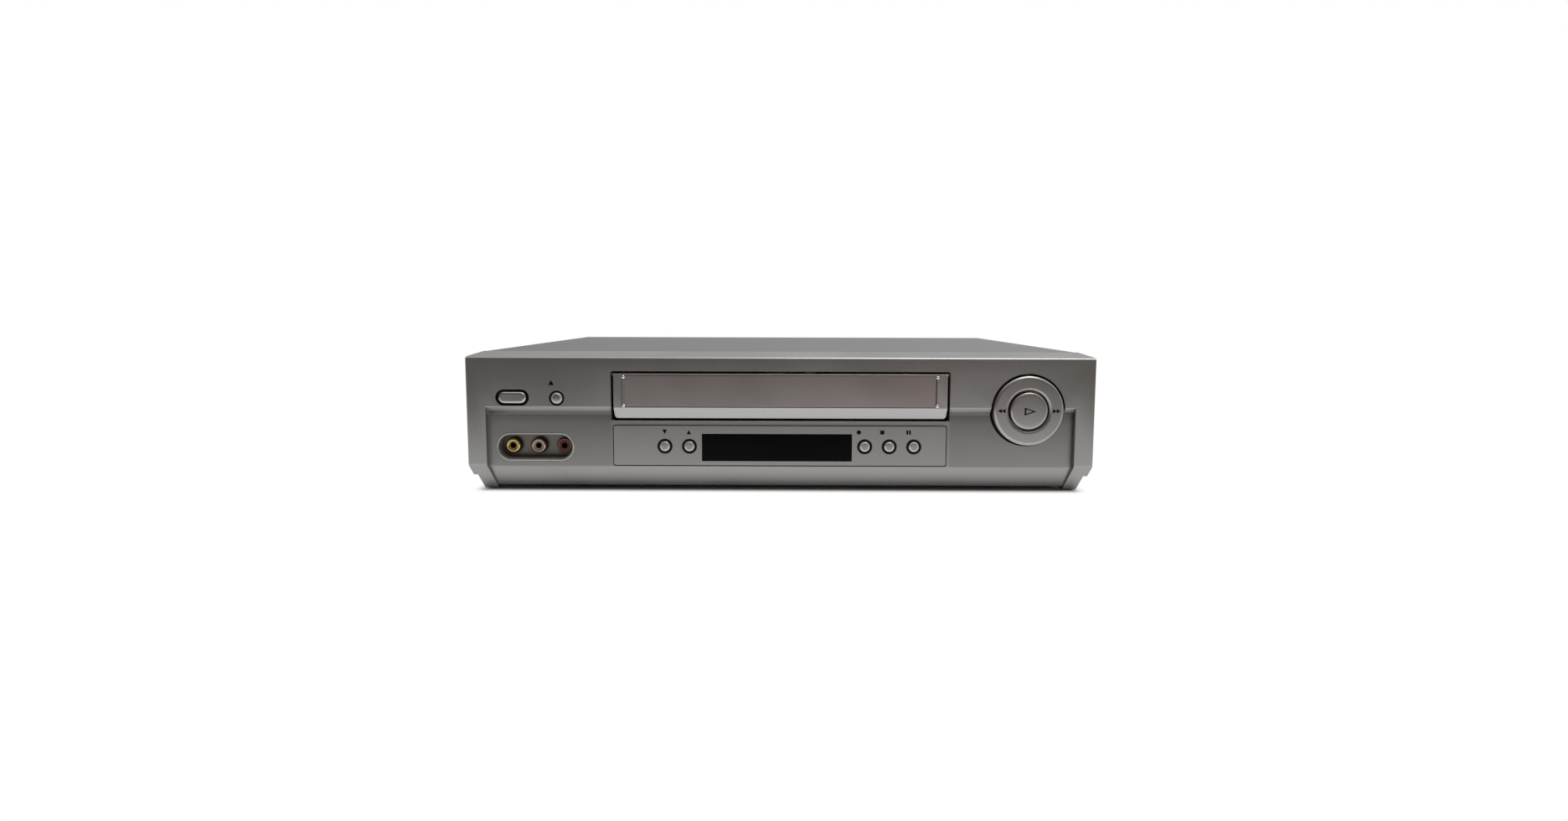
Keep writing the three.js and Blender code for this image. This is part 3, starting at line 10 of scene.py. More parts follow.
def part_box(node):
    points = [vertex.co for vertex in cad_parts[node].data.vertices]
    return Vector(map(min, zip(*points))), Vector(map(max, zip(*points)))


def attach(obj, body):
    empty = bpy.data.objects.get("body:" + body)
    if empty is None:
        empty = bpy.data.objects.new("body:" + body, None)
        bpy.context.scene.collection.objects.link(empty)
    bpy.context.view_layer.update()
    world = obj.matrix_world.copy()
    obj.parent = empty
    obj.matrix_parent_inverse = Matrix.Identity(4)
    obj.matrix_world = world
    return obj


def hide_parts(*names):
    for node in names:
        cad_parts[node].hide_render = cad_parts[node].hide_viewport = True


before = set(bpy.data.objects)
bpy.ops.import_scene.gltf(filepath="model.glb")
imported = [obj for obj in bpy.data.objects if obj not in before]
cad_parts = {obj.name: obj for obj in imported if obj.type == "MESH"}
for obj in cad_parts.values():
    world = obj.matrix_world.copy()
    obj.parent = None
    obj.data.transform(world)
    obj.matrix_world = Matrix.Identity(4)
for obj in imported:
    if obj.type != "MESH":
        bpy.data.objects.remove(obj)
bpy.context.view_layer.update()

MM = 0.001
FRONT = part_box("front_bezel")[0].y

# Sizes of the case
HALF_WIDTH = 180
HEIGHT = 82.1
BEZEL_DEPTH = 25
FRONT_TOP = 80.1
WALL = 2.5
PILLAR_INNER = 169.4
STEP_HEIGHT = 51.3
RECESS_TOP = 46.8
RECESS_DEPTH = 4
CHIN_HEIGHT = 16.2
CHIN_BOTTOM = 2
CHIN_SETBACK = 17.5
PILLAR_BEND = 17.2
FOOT_SETBACK = 18.4
NOTCH_HEIGHT = 10.3
NOTCH_DEPTH = 2.3
LOWER_BACK = RECESS_DEPTH + WALL

# Places on the front. A span goes from low to high; the door's opening is given by its half
# width, its bottom and its top.
SIDES = (-1, 1)
DOOR_HALF = 95.7
DOOR_TOP = 70.7
DOOR_LIP_TOP = 50.8
DOOR_LIP_DEPTH = 4
DOOR_LIP_BOTTOM = 44.2
DOOR_WALL = 2.2
DOOR_OPENING = (97.2, 43.0, 72.0)
FACING_HALF = 89.6
FACING_SPAN = (51.6, 69.4)
PANEL_SPAN_X = (-97.2, 96.5)
PANEL_SPAN_Z = (16.3, 40.4)
PANEL_FACE = 3
WINDOW_SPAN_X = (-45.2, 41.2)
WINDOW_SPAN_Z = (19.8, 35.2)
ROUND_BUTTONS = {
    "program_down_button": -66.9, "program_up_button": -52.7, "record_button": 48.9,
    "stop_button": 63.1, "pause_button": 77.3,
}
ROUND_HEIGHT = 28.2
ROUND_HOLE = 4.4
ROUND_CAP = 2.95
EJECT_PLACE = (-128.3, 56.3)
EJECT_HOLE = 4.4
EJECT_CAP = 3.2
POWER_PLACE = (-153.8, 56.6)
POWER_HOLE = (19.3, 9.4)
POWER_CAP = (15.9, 6.6)
RING_PLACE = (142.1, 49.9)
RING_HOLE = 21.2
RING_RADIUS = 20
RING_BORE = 11.6
RING_FACE = -1.8
PLAY_RADIUS = 10.65
PLAY_FACE = -2.4
JACK_RECESS = (-142.4, 27.4, 45.4, 16.6)
SEAM = 0.3

# How far cuts run on, how deep joined pieces sink in, how finely round things are made, and
# which edges and points count as sharp and as the same
OVERRUN = 3
MARGIN = 1
SINK = 0.1
RING_SIDES = 128
FINE = 96
MEDIUM = 48
SMALL_SIDES = 32
COARSE = 24
ARC_STEPS = 6
SHARP_ANGLE = 35
SAME_POINT = 1e-7
WELD_REACH = 1e-6

# Camera: fitted to the front's outline in the photograph
CAMERA_PLACE = (3.03, -451.3, 107.24)
CAMERA_PITCH = 5.255
CAMERA_YAW = -0.127
CAMERA_ROLL = 0.162
FOCAL_PIXELS = 946.5
IMAGE_WIDTH = 1872
AXIS_PIXELS_ABOVE_MIDDLE = 33.4
SENSOR = 36
CLIP_START = 0.01


def point(x, y, z):
    return Vector((x * MM, FRONT + y * MM, z * MM))


def make_camera():
    pitch, yaw, roll = (math.radians(a) for a in (CAMERA_PITCH, CAMERA_YAW, CAMERA_ROLL))
    flat = math.cos(pitch)
    ahead = Vector((math.sin(yaw) * flat, math.cos(yaw) * flat, -math.sin(pitch)))
    level = Vector((math.cos(yaw), -math.sin(yaw), 0))
    upright = level.cross(ahead)
    right = math.cos(roll) * level + math.sin(roll) * upright
    up = math.cos(roll) * upright - math.sin(roll) * level
    data = bpy.data.cameras.new("camera")
    data.sensor_width = SENSOR
    data.lens = FOCAL_PIXELS / IMAGE_WIDTH * SENSOR
    data.shift_y = -AXIS_PIXELS_ABOVE_MIDDLE / IMAGE_WIDTH
    data.clip_start = CLIP_START
    camera = bpy.data.objects.new("camera", data)
    turn = Matrix((right, up, -ahead)).transposed()
    camera.matrix_world = Matrix.Translation(point(*CAMERA_PLACE)) @ turn.to_4x4()
    bpy.context.scene.collection.objects.link(camera)
    bpy.context.scene.camera = camera


make_camera()


# Mesh building. Outlines lie across an axis and run along it.
AXES = {
    "x": lambda u, v, along: point(along, u, v),
    "y": lambda u, v, along: point(u, along, v),
    "z": lambda u, v, along: point(u, v, along),
}


def object_of(name, mesh_data):
    mesh = bpy.data.meshes.new(name)
    bmesh.ops.remove_doubles(mesh_data, verts=mesh_data.verts, dist=SAME_POINT)
    bmesh.ops.recalc_face_normals(mesh_data, faces=mesh_data.faces)
    mesh_data.to_mesh(mesh)
    mesh_data.free()
    piece = bpy.data.objects.new(name, mesh)
    bpy.context.scene.collection.objects.link(piece)
    return piece


def grown(span, by):
    return span[0] - by, span[1] + by


def layered(name, layers, axis="y"):
    """A closed skin through outlines of equal length, each given with its place on the axis."""
    spot = AXES[axis]
    built = bmesh.new()
    rings = [[built.verts.new(spot(u, v, along)) for u, v in outline] for outline, along in layers]
    built.faces.new(rings[0])
    built.faces.new(rings[-1])
    for first, second in zip(rings, rings[1:]):
        for i in range(len(first)):
            j = (i + 1) % len(first)
            built.faces.new((first[i], first[j], second[j], second[i]))
    return object_of(name, built)


def prism(name, outline, low, high, axis="y"):
    return layered(name, [(outline, low), (outline, high)], axis)


def block(name, xs, ys, zs):
    (left, right), (front, rear), (bottom, top) = (sorted(span) for span in (xs, ys, zs))
    corners = [(left, bottom), (right, bottom), (right, top), (left, top)]
    return prism(name, corners, front, rear)


def turned(name, outline, centre, axis="y", sides=MEDIUM, ring=False):
    """An outline of (radius, height) points turned about an axis. A ring's closes on itself."""
    spot, (u, v) = AXES[axis], centre
    turns = [math.tau * i / sides for i in range(sides)]
    built = bmesh.new()
    rows = []
    for radius, height in outline:
        if radius == 0:
            rows.append([built.verts.new(spot(u, v, height))] * sides)
        else:
            rows.append([built.verts.new(spot(u + radius * math.cos(a), v + radius * math.sin(a),
                                              height)) for a in turns])
    for first, second in zip(rows, rows[1:] + ([rows[0]] if ring else [])):
        for i in range(sides):
            j = (i + 1) % sides
            corners = []
            for vert in (first[i], first[j], second[j], second[i]):
                if vert not in corners:
                    corners.append(vert)
            if len(corners) > 2:
                built.faces.new(corners)
    return object_of(name, built)


def rod(name, radius, low, high, centre, axis="y", sides=MEDIUM):
    return turned(name, [(0, low), (radius, low), (radius, high), (0, high)], centre, axis, sides)


def rounded(corners):
    """Corner points (u, v) or (u, v, radius), with each given radius as an arc of short steps."""
    outline = []
    count = len(corners)
    for i, corner in enumerate(corners):
        here = Vector(corner[:2])
        if len(corner) == 2:
            outline.append(tuple(here))
            continue
        before = (Vector(corners[i - 1][:2]) - here).normalized()
        after = (Vector(corners[(i + 1) % count][:2]) - here).normalized()
        half = before.angle(after) / 2
        reach = corner[2] / math.tan(half)
        centre = here + (before + after).normalized() * (corner[2] / math.sin(half))
        start = here + before * reach - centre
        sweep = start.angle_signed(here + after * reach - centre)
        for step in range(ARC_STEPS + 1):
            turn = Matrix.Rotation(-sweep * step / ARC_STEPS, 2)
            outline.append(tuple(centre + turn @ start))
    return outline


def pill(x, z, length, height):
    reach, radius = (length - height) / 2, height / 2
    outline = []
    for side, start in ((1, -math.pi / 2), (-1, math.pi / 2)):
        for step in range(COARSE + 1):
            angle = start + math.pi * step / COARSE
            outline.append((x + side * reach + radius * math.cos(angle),
                            z + radius * math.sin(angle)))
    return outline


def rectangle(xs, zs, radius=0):
    corners = [(xs[0], zs[0]), (xs[1], zs[0]), (xs[1], zs[1]), (xs[0], zs[1])]
    return rounded([(*corner, radius) for corner in corners]) if radius else corners


def applied(piece):
    """Bakes a piece's modifiers into its own mesh."""
    graph = bpy.context.evaluated_depsgraph_get()
    mesh = bpy.data.meshes.new_from_object(piece.evaluated_get(graph))
    piece.modifiers.clear()
    piece.data = mesh
    return piece


def combine(piece, tools, operation):
    for tool in tools:
        step = piece.modifiers.new("combine", "BOOLEAN")
        step.object = tool
        step.operation = operation
        step.solver = "EXACT"
        applied(piece)
        bpy.data.objects.remove(tool)
    return piece


def cut(piece, *tools):
    return combine(piece, tools, "DIFFERENCE")


def join(piece, *others):
    return combine(piece, others, "UNION")


def gather(piece, *others):
    """Puts separate shells into one object."""
    built = bmesh.new()
    for part in (piece, *others):
        built.from_mesh(part.data)
    built.to_mesh(piece.data)
    built.free()
    for part in others:
        bpy.data.objects.remove(part)
    return piece


def round_edges(piece, width, segments, limit):
    weld = piece.modifiers.new("weld", "WELD")
    weld.merge_threshold = WELD_REACH
    bevel = piece.modifiers.new("edges", "BEVEL")
    bevel.width = width * MM
    bevel.segments = segments
    bevel.limit_method = "ANGLE"
    bevel.angle_limit = math.radians(limit)
    return bevel


def soften(piece, width, segments=3):
    """Small rounded edges that catch the light, with flat faces kept flat."""
    round_edges(piece, width, segments, SHARP_ANGLE).harden_normals = True
    return smooth(piece)


def smooth(piece, angle=SHARP_ANGLE):
    for face in piece.data.polygons:
        face.use_smooth = True
    piece.data.set_sharp_from_angle(angle=math.radians(angle))
    return piece


# Node trees of the materials, the table and the world
def fill(node, inputs):
    """Gives each named input of a shader node its value, or links it to a socket."""
    for name, value in inputs.items():
        if isinstance(value, bpy.types.NodeSocket):
            node.id_data.links.new(value, node.inputs[name])
        else:
            node.inputs[name].default_value = value
    return node


def add_node(tree, kind, inputs=None, **settings):
    node = tree.nodes.new(kind)
    for name, value in settings.items():
        setattr(node, name, value)
    return fill(node, inputs or {})


def new_material(name):
    material = bpy.data.materials.new(name)
    material.use_nodes = True
    return material, material.node_tree, material.node_tree.nodes["Principled BSDF"]


def computed(tree, operation, *values, kind="ShaderNodeMath"):
    node = add_node(tree, kind, dict(enumerate(values)), operation=operation)
    return node.outputs[0] if node.outputs[0].enabled else node.outputs[1]


def ranged(tree, source, low, high, start=0, end=1, way="LINEAR"):
    """A value between low and high turned into one between start and end."""
    return add_node(tree, "ShaderNodeMapRange", {
        "Value": source, "From Min": low, "From Max": high, "To Min": start, "To Max": end,
    }, interpolation_type=way).outputs["Result"]


def ramped(tree, source, stops):
    """The colour that belongs to a value, from two or more stops of (place, colour)."""
    node = add_node(tree, "ShaderNodeValToRGB", {"Fac": source})
    elements = node.color_ramp.elements
    for element, (at, colour) in zip(elements, (stops[0], stops[-1])):
        element.position, element.color = at, colour
    for at, colour in stops[1:-1]:
        elements.new(at).color = colour
    return node.outputs["Color"]


def multiplied(tree, share, first, second):
    """A colour multiplied by another one to the extent that a share says."""
    return add_node(tree, "ShaderNodeMix", {"Factor": share, "A": first, "B": second},
                    data_type="RGBA", blend_type="MULTIPLY").outputs["Result"]


def place_in_space(tree):
    spot = add_node(tree, "ShaderNodeTexCoord").outputs["Object"]
    return spot, add_node(tree, "ShaderNodeSeparateXYZ", {0: spot}).outputs


# Materials: every one varies a little over the surface, in colour, gloss and fine relief, and
# has painted shade in its colour, darker in gaps and inner corners. Lengths here are in metres.
TONE_SPAN = 0.25
BROAD_NOISE = (18, 3)
FINE_DETAIL = 2
NOISE_SPAN = (0.3, 0.7)
# Painted shade of gaps: how far it looks, how strongly it darkens, and how it fades in above the
# floor
CREVICE_REACH = 0.002
CREVICE_DEPTH = 2.0
CREVICE_SAMPLES = 8
CREVICE_SHADE_FADE = (0.002, 0.006)
RELIEF_HEIGHT = 0.00005


def finish(name, colour, roughness, metallic=0.0, mottle=0.04, flake=0.03, relief=0.08, grain=1400,
           shine=0.5, edge=1.0, crevice_shade=1.0):
    material, tree, shader = new_material(name)
    spot, apart = place_in_space(tree)

    def noise(scale, detail):
        inputs = {"Scale": scale, "Detail": detail, "Vector": spot}
        return add_node(tree, "ShaderNodeTexNoise", inputs).outputs["Fac"]

    broad, fine = noise(*BROAD_NOISE), noise(grain, FINE_DETAIL)
    tone = computed(tree, "ADD", ranged(tree, broad, *NOISE_SPAN, -mottle, mottle),
                    ranged(tree, fine, *NOISE_SPAN, -flake, flake))
    shades = ramped(tree, ranged(tree, tone, -TONE_SPAN, TONE_SPAN), [
        (0, (*((1 - TONE_SPAN) * c for c in colour), 1)),
        (1, (*(min(1, (1 + TONE_SPAN) * c) for c in colour), 1)),
    ])
    # Painted shade: ambient occlusion darkens the colour in gaps and inner corners, faded out near
    # the floor
    crevice = add_node(tree, "ShaderNodeAmbientOcclusion", {"Distance": CREVICE_REACH},
                       samples=CREVICE_SAMPLES)
    deep = computed(tree, "POWER", crevice.outputs["AO"], CREVICE_DEPTH)
    crevice_share = ranged(tree, apart["Z"], *CREVICE_SHADE_FADE, 0, crevice_shade)
    bump = add_node(tree, "ShaderNodeBump", {
        "Strength": relief, "Distance": RELIEF_HEIGHT, "Height": fine,
    })
    fill(shader, {
        "Metallic": metallic, "Specular IOR Level": shine, "Specular Tint": (edge, edge, edge, 1),
        "Base Color": multiplied(tree, crevice_share, shades, deep),
        "Roughness": ranged(tree, broad, *NOISE_SPAN, roughness - mottle, roughness + mottle),
        "Normal": bump.outputs["Normal"],
    })
    return material


# Painted shade of the recess over its height, and how its edges fade, all in millimetres
RECESS_SHADES = ((15.9, 1), (16, 0.80), (30, 0.76), (41, 0.70), (47, 0.48), (49.5, 0.6),
                 (STEP_HEIGHT, 1))
SHADES_REACH = 100
RECESS_FADE = (1.3, 2.5)
BESIDE_FADE = 1.5
BESIDE_SHARE = 0.25
WALL_FADE = (0.4, 1.9)


def shade_recess(material):
    """Painted shade: the paint in the shallow recess of the front darkens nearer to the step above.
    """
    tree = material.node_tree
    colour = tree.nodes["Principled BSDF"].inputs["Base Color"]
    apart = place_in_space(tree)[1]
    inside = ranged(tree, apart["Y"], *(FRONT + depth * MM for depth in RECESS_FADE))
    height = ranged(tree, apart["Z"], 0, SHADES_REACH * MM)
    shades = ramped(tree, height, [(at / SHADES_REACH, (level, level, level, 1))
                                   for at, level in RECESS_SHADES])
    edge = DOOR_OPENING[0]
    beside = ranged(tree, computed(tree, "ABSOLUTE", apart["X"]), edge * MM,
                    (edge + BESIDE_FADE) * MM, BESIDE_SHARE)
    # The recess's left wall is kept free of this painted shade and of the painted shade of gaps
    light_wall = ranged(tree, apart["X"], *((reach - PILLAR_INNER) * MM for reach in WALL_FADE))
    share = computed(tree, "MULTIPLY", computed(tree, "MULTIPLY", inside, beside), light_wall)
    crevice_share = colour.links[0].from_node.inputs["Factor"]
    tree.links.new(computed(tree, "MULTIPLY", crevice_share.links[0].from_socket, light_wall), crevice_share)
    tree.links.new(multiplied(tree, share, colour.links[0].from_socket, shades), colour)


FLAKED = {"flake": 0.05, "relief": 0.1, "grain": 2600}
SLOT_FINISHES = {
    "bezel_plastic": finish("silver_paint", (0.44, 0.435, 0.43), 0.4, 0.75, flake=0.06, relief=0.12,
                            grain=2600, edge=0.3, crevice_shade=0.45),
    "cover_paint": finish("cover_paint", (0.305, 0.305, 0.306), 0.46, 0.75, mottle=0.012,
                          flake=0.06, relief=0.15, grain=2200, edge=0.2),
    "button_plastic": finish("button_paint", (0.57, 0.56, 0.545), 0.3, 0.9, crevice_shade=0.2, **FLAKED),
    "door_facing": finish("facing_plastic", (0.52, 0.475, 0.47), 0.38, 0.9, relief=0.05, grain=2600,
                          crevice_shade=0.5),
    "window_black": finish("window_black", (0.002, 0.002, 0.0022), 0.2, relief=0.02, shine=0.06),
    "black_plastic": finish("black_plastic", (0.012, 0.012, 0.013), 0.5, relief=0.3),
    **{name: finish(name, colour, 0.4, relief=0.15) for name, colour in (
        ("yellow_plastic", (0.66, 0.44, 0.1)), ("white_plastic", (0.62, 0.5, 0.42)),
        ("red_plastic", (0.2, 0.03, 0.025)))},
    "rubber": finish("rubber", (0.014, 0.014, 0.014), 0.8, relief=0.5, grain=900),
    "steel": finish("steel", (0.55, 0.55, 0.56), 0.34, 1.0, mottle=0.06, relief=0.1),
    "zinc_plate": finish("zinc_plate", (0.5, 0.5, 0.49), 0.42, 1.0, mottle=0.12, relief=0.12,
                         grain=700),
    "drum_aluminium": finish("aluminium", (0.7, 0.7, 0.71), 0.26, 1.0),
    "capacitor_can": finish("capacitor_can", (0.05, 0.06, 0.09), 0.35, relief=0.1),
    "circuit_board": finish("circuit_board", (0.2, 0.14, 0.05), 0.5, mottle=0.15, relief=0.4,
                            grain=500),
    "transformer_iron": finish("transformer_iron", (0.16, 0.13, 0.11), 0.5, 0.3, mottle=0.15,
                               relief=0.3, grain=900),
    "gear_plastic": finish("gear_plastic", (0.62, 0.6, 0.54), 0.45, relief=0.1),
}
shade_recess(SLOT_FINISHES["bezel_plastic"])
DOOR_PAINT = finish("door_paint", (0.56, 0.55, 0.545), 0.36, 0.8, edge=0.5, crevice_shade=0.3, **FLAKED)
# Painted shade: a darker copy of the button paint for the small round caps, which mirror the bright
# floor
SHADED_SMALL_CAPS = finish("shaded_small_button_paint", (0.36, 0.355, 0.35), 0.27, 0.9, crevice_shade=0.2, **FLAKED)
# Painted highlight: a pale paint for the slanted rims of the caps, bright all round
PAINTED_HIGHLIGHT_RIM = finish("painted_highlight_rim", (0.8, 0.785, 0.775), 0.3, 0.4, relief=0.05, crevice_shade=0)
RING_PAINT = finish("ring_paint", (0.475, 0.464, 0.458), 0.35, 0.87, crevice_shade=0.2, **FLAKED)
# Black print for the signs, used too for the painted shadow lines on the door's facing
BLACK_PRINT_AND_SHADOW = finish("black_print_and_painted_shadow", (0.005, 0.005, 0.005), 0.6, relief=0.1, shine=0.1)
# Painted highlight: a pale paint for the ring just inside the rim of the jacks' recess
JACK_RIM_HIGHLIGHT = finish("jack_rim_highlight", (0.72, 0.71, 0.7), 0.42, 0.75, crevice_shade=0, **FLAKED)
RECESS = finish("recess_grey", (0.34, 0.31, 0.29), 0.45, 0.3, relief=0.15, crevice_shade=0.4)
PEG = finish("bright_peg", (0.95, 0.94, 0.93), 0.2, 1.0, relief=0.05, crevice_shade=0)
NICKEL = finish("nickel_plate", (0.6, 0.58, 0.54), 0.25, 1.0, relief=0.1)

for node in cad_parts.values():
    for entry in node.material_slots:
        entry.material = SLOT_FINISHES[entry.material.name]


def place(piece, slot, *nodes, body="case", look=None):
    """Puts a piece on its body, with its slot's finish or with a look of its own."""
    piece.data.materials.clear()
    piece.data.materials.append(look or SLOT_FINISHES[slot])
    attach(piece, body)
    if nodes:
        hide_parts(*nodes)


# Front bezel, with what it carries on its back
TOP_DROP = 0.13
SHOULDER = (1.6, 4.6)
BEHIND = 30
OPENING_BACK = 12
DOOR_WAY_CORNER = 1.4
PANEL_CORNER = 1.2
POST = (2.5, WALL - 0.3, 13.7)
POST_ACROSS = 108.9
POST_HEIGHT = 56
EAR_END = 100.5
EAR_SPANS = ((1.3, 5), (67, 73.4))
SPRING_RIB = ((-103, -101), (4, 12), (72.9, 78.8))
SPRING_PEG = (1.5, -110.5, -101.5, (8, 74.4))


def make_bezel():
    shell = prism("front_bezel_shell", rounded([
        (0, PILLAR_BEND, 2.5), (FOOT_SETBACK, 0), (BEZEL_DEPTH, 0), (BEZEL_DEPTH, HEIGHT),
        (0, FRONT_TOP - TOP_DROP, 1.5),
    ]), -HALF_WIDTH, HALF_WIDTH, "x")
    step = rounded([
        (0, FRONT_TOP), (0, STEP_HEIGHT, 0.9), (RECESS_DEPTH, RECESS_TOP, 0.9),
        (RECESS_DEPTH, CHIN_HEIGHT, 0.5), (CHIN_SETBACK, CHIN_BOTTOM, 1.2), (BEHIND, CHIN_BOTTOM),
    ])
    outline = [(-OVERRUN, step[1][1]), *step[1:], (BEHIND, -OVERRUN), (-OVERRUN, -OVERRUN)]
    face = prism("face", outline, -PILLAR_INNER, PILLAR_INNER, "x")
    hollow = prism("hollow", [
        (WALL, FRONT_TOP - WALL), (BEHIND, HEIGHT - WALL), (BEHIND, CHIN_BOTTOM + WALL),
        (CHIN_SETBACK + MARGIN, CHIN_BOTTOM + WALL), (LOWER_BACK, CHIN_HEIGHT + MARGIN),
        (LOWER_BACK, RECESS_TOP - MARGIN), (WALL, STEP_HEIGHT - MARGIN),
    ], WALL - HALF_WIDTH, HALF_WIDTH - WALL, "x")
    inner, notch = HALF_WIDTH - WALL - NOTCH_DEPTH, HALF_WIDTH - NOTCH_DEPTH
    shoulder, outside = HALF_WIDTH - SHOULDER[0], HALF_WIDTH + OVERRUN
    keep = [block("keep", (side * inner, side * outside), (-MARGIN, BEHIND + MARGIN),
                  (-MARGIN, NOTCH_HEIGHT + WALL)) for side in SIDES]
    notches = [block("notch", (side * notch, side * outside), (-OVERRUN, BEHIND),
                     (-OVERRUN, NOTCH_HEIGHT)) for side in SIDES]
    shoulders = [prism("shoulder", [
        (side * shoulder, HEIGHT), (side * outside, HEIGHT - SHOULDER[1]),
        (side * outside, HEIGHT + OVERRUN), (side * shoulder, HEIGHT + OVERRUN),
    ], -OVERRUN, BEHIND) for side in SIDES]
    door_way = rectangle((-DOOR_OPENING[0], DOOR_OPENING[0]), DOOR_OPENING[1:], DOOR_WAY_CORNER)
    through = (-OVERRUN, OPENING_BACK)
    openings = [
        prism("door_way", door_way, *through),
        prism("panel_way", rectangle(PANEL_SPAN_X, PANEL_SPAN_Z, PANEL_CORNER), *through),
        prism("power_way", pill(*POWER_PLACE, *POWER_HOLE), *through),
        rod("eject_way", EJECT_HOLE, *through, EJECT_PLACE),
        rod("ring_way", RING_HOLE, *through, RING_PLACE, sides=FINE),
        prism("jack_way", pill(*JACK_RECESS), *through),
    ]
    cut(hollow, *keep)
    cut(shell, face, hollow, *notches, *shoulders, *openings)
    extras = [
        *(rod("post", *POST, (side * POST_ACROSS, POST_HEIGHT), sides=COARSE) for side in SIDES),
        *(block("ear", (side * DOOR_OPENING[0], side * EAR_END), *EAR_SPANS) for side in SIDES),
        block("rib", *SPRING_RIB),
        rod("peg", *SPRING_PEG, "x", COARSE),
    ]
    return soften(join(shell, *extras), 0.45)


FRAME_SHEET = (0.4, 0.9)
FRAME_STRIPS = (0.4, 8)
FRAME_WALL = 0.5
FRAME_ROOF = 0.3
STRIP_TOP = 68.3
STRIP_END = 95


def make_door_gap_shade():
    """Painted shade: a black lining of the sides and the top of the cassette opening."""
    across, bottom, top = DOOR_OPENING
    inner, low, ceiling = across - FRAME_WALL, bottom + FRAME_WALL, top - FRAME_ROOF
    outline = rectangle((-across, across), (low, top), DOOR_WAY_CORNER)
    sheet = prism("door_gap_shade", outline, *FRAME_SHEET)
    cut(sheet, block("inner", (-inner, inner), (0, 2), (bottom - OVERRUN, ceiling)))
    strips = [block("strip", (side * inner, side * across), FRAME_STRIPS, (low, STRIP_TOP))
              for side in SIDES]
    roof = block("strip", (-STRIP_END, STRIP_END), FRAME_STRIPS, (ceiling, top))
    return soften(join(sheet, *strips, roof), 0.1)


place(make_bezel(), "bezel_plastic", "front_bezel")
place(make_door_gap_shade(), "black_plastic")


# Cassette door and its facing plate
DOOR_INNER_BENDS = ((7.635, 45.68, 0.4), (DOOR_WALL, 51.63, 0.8))
DOOR_ROUND = 2.4
POCKET_DEPTH = 1.0
POCKET_PLAY = 0.1
FACING_THICKNESS = 0.7
HINGE = (1.8, 70.2)
PIN_RADIUS = 0.8
PIN_REACH = 3.3


def make_door():
    flap = prism("cassette_door_flap", rounded([
        (0, DOOR_TOP, 0.5), (0, DOOR_LIP_TOP, 0.8), (DOOR_LIP_DEPTH, DOOR_LIP_BOTTOM, 0.5),
        *DOOR_INNER_BENDS, (DOOR_WALL, DOOR_TOP),
    ]), -DOOR_HALF, DOOR_HALF, "x")
    inner, upper, outside = DOOR_HALF - DOOR_ROUND, DOOR_LIP_BOTTOM + DOOR_ROUND, DOOR_HALF + MARGIN
    below = DOOR_LIP_BOTTOM - OVERRUN
    turns = [math.pi / 2 * i / ARC_STEPS for i in range(ARC_STEPS + 1)]
    curve = [(inner + DOOR_ROUND * math.sin(a), upper - DOOR_ROUND * math.cos(a)) for a in turns]
    outline = [(outside, below), (inner, below), *curve, (outside, upper)]
    corners = [prism("corner", [(side * x, z) for x, z in outline], -OVERRUN, OPENING_BACK)
               for side in SIDES]
    reach = FACING_HALF + POCKET_PLAY
    pocket = block("pocket", (-reach, reach), (-MARGIN, POCKET_DEPTH), grown(FACING_SPAN, SEAM))
    pins = [rod("pin", PIN_RADIUS, side * (DOOR_HALF - MARGIN), side * (DOOR_HALF + PIN_REACH),
                HINGE, "x", COARSE) for side in SIDES]
    return soften(join(cut(flap, pocket, *corners), *pins), 0.25)


def make_facing():
    across = (-FACING_HALF, FACING_HALF)
    return soften(block("door_facing_plate", across, (0, FACING_THICKNESS), FACING_SPAN), 0.2)


place(make_door(), "bezel_plastic", "cassette_door", look=DOOR_PAINT, body="door")
place(make_facing(), "door_facing", "door_facing", body="door")


# Control panel and display window
PANEL_GAP = 0.65
PANEL_PLATE = ((PANEL_SPAN_X[0] + PANEL_GAP, PANEL_SPAN_X[1] - PANEL_GAP),
               (PANEL_SPAN_Z[0] + 1.2 * PANEL_GAP, PANEL_SPAN_Z[1] - SEAM))
PLATE_CORNER = 1.0
GAP_SHADE_DEPTHS = (4.6, 6.2)
PANEL_FLANGE = (6.8, 8.4)
FLANGE_REACH = 2
PANEL_WALL = 1.5
PANEL_HOLLOW = (5.5, OPENING_BACK)
GLASS_DEPTHS = (3.25, 6.8)
GLASS_FLANGE = (5.8, 6.8)
GLASS_REACH = 1.2


# Painted shade: a black frame behind the gap round the control panel
def make_panel_gap_shade():
    outline = rectangle(PANEL_SPAN_X, PANEL_SPAN_Z, PANEL_CORNER)
    gap_shade = prism("control_panel_gap_shade", outline, *GAP_SHADE_DEPTHS)
    return cut(gap_shade, prism("plate", rectangle(*PANEL_PLATE, PLATE_CORNER), 4, 7))


def make_panel():
    across, upward = PANEL_PLATE
    plate = prism("control_panel_plate", rectangle(across, upward, PLATE_CORNER), PANEL_FACE,
                  PANEL_FLANGE[1])
    flange = block("flange", grown(across, FLANGE_REACH), PANEL_FLANGE,
                   (upward[0] + FLANGE_REACH, upward[1]))
    hollow = block("hollow", grown(across, -PANEL_WALL), PANEL_HOLLOW, grown(upward, -PANEL_WALL))
    window = block("window", grown(WINDOW_SPAN_X, SEAM), (0, OPENING_BACK),
                   grown(WINDOW_SPAN_Z, SEAM))
    holes = [rod("hole", ROUND_HOLE, 0, OPENING_BACK, (x, ROUND_HEIGHT))
             for x in ROUND_BUTTONS.values()]
    return soften(cut(join(plate, flange), hollow, window, *holes), 0.3)


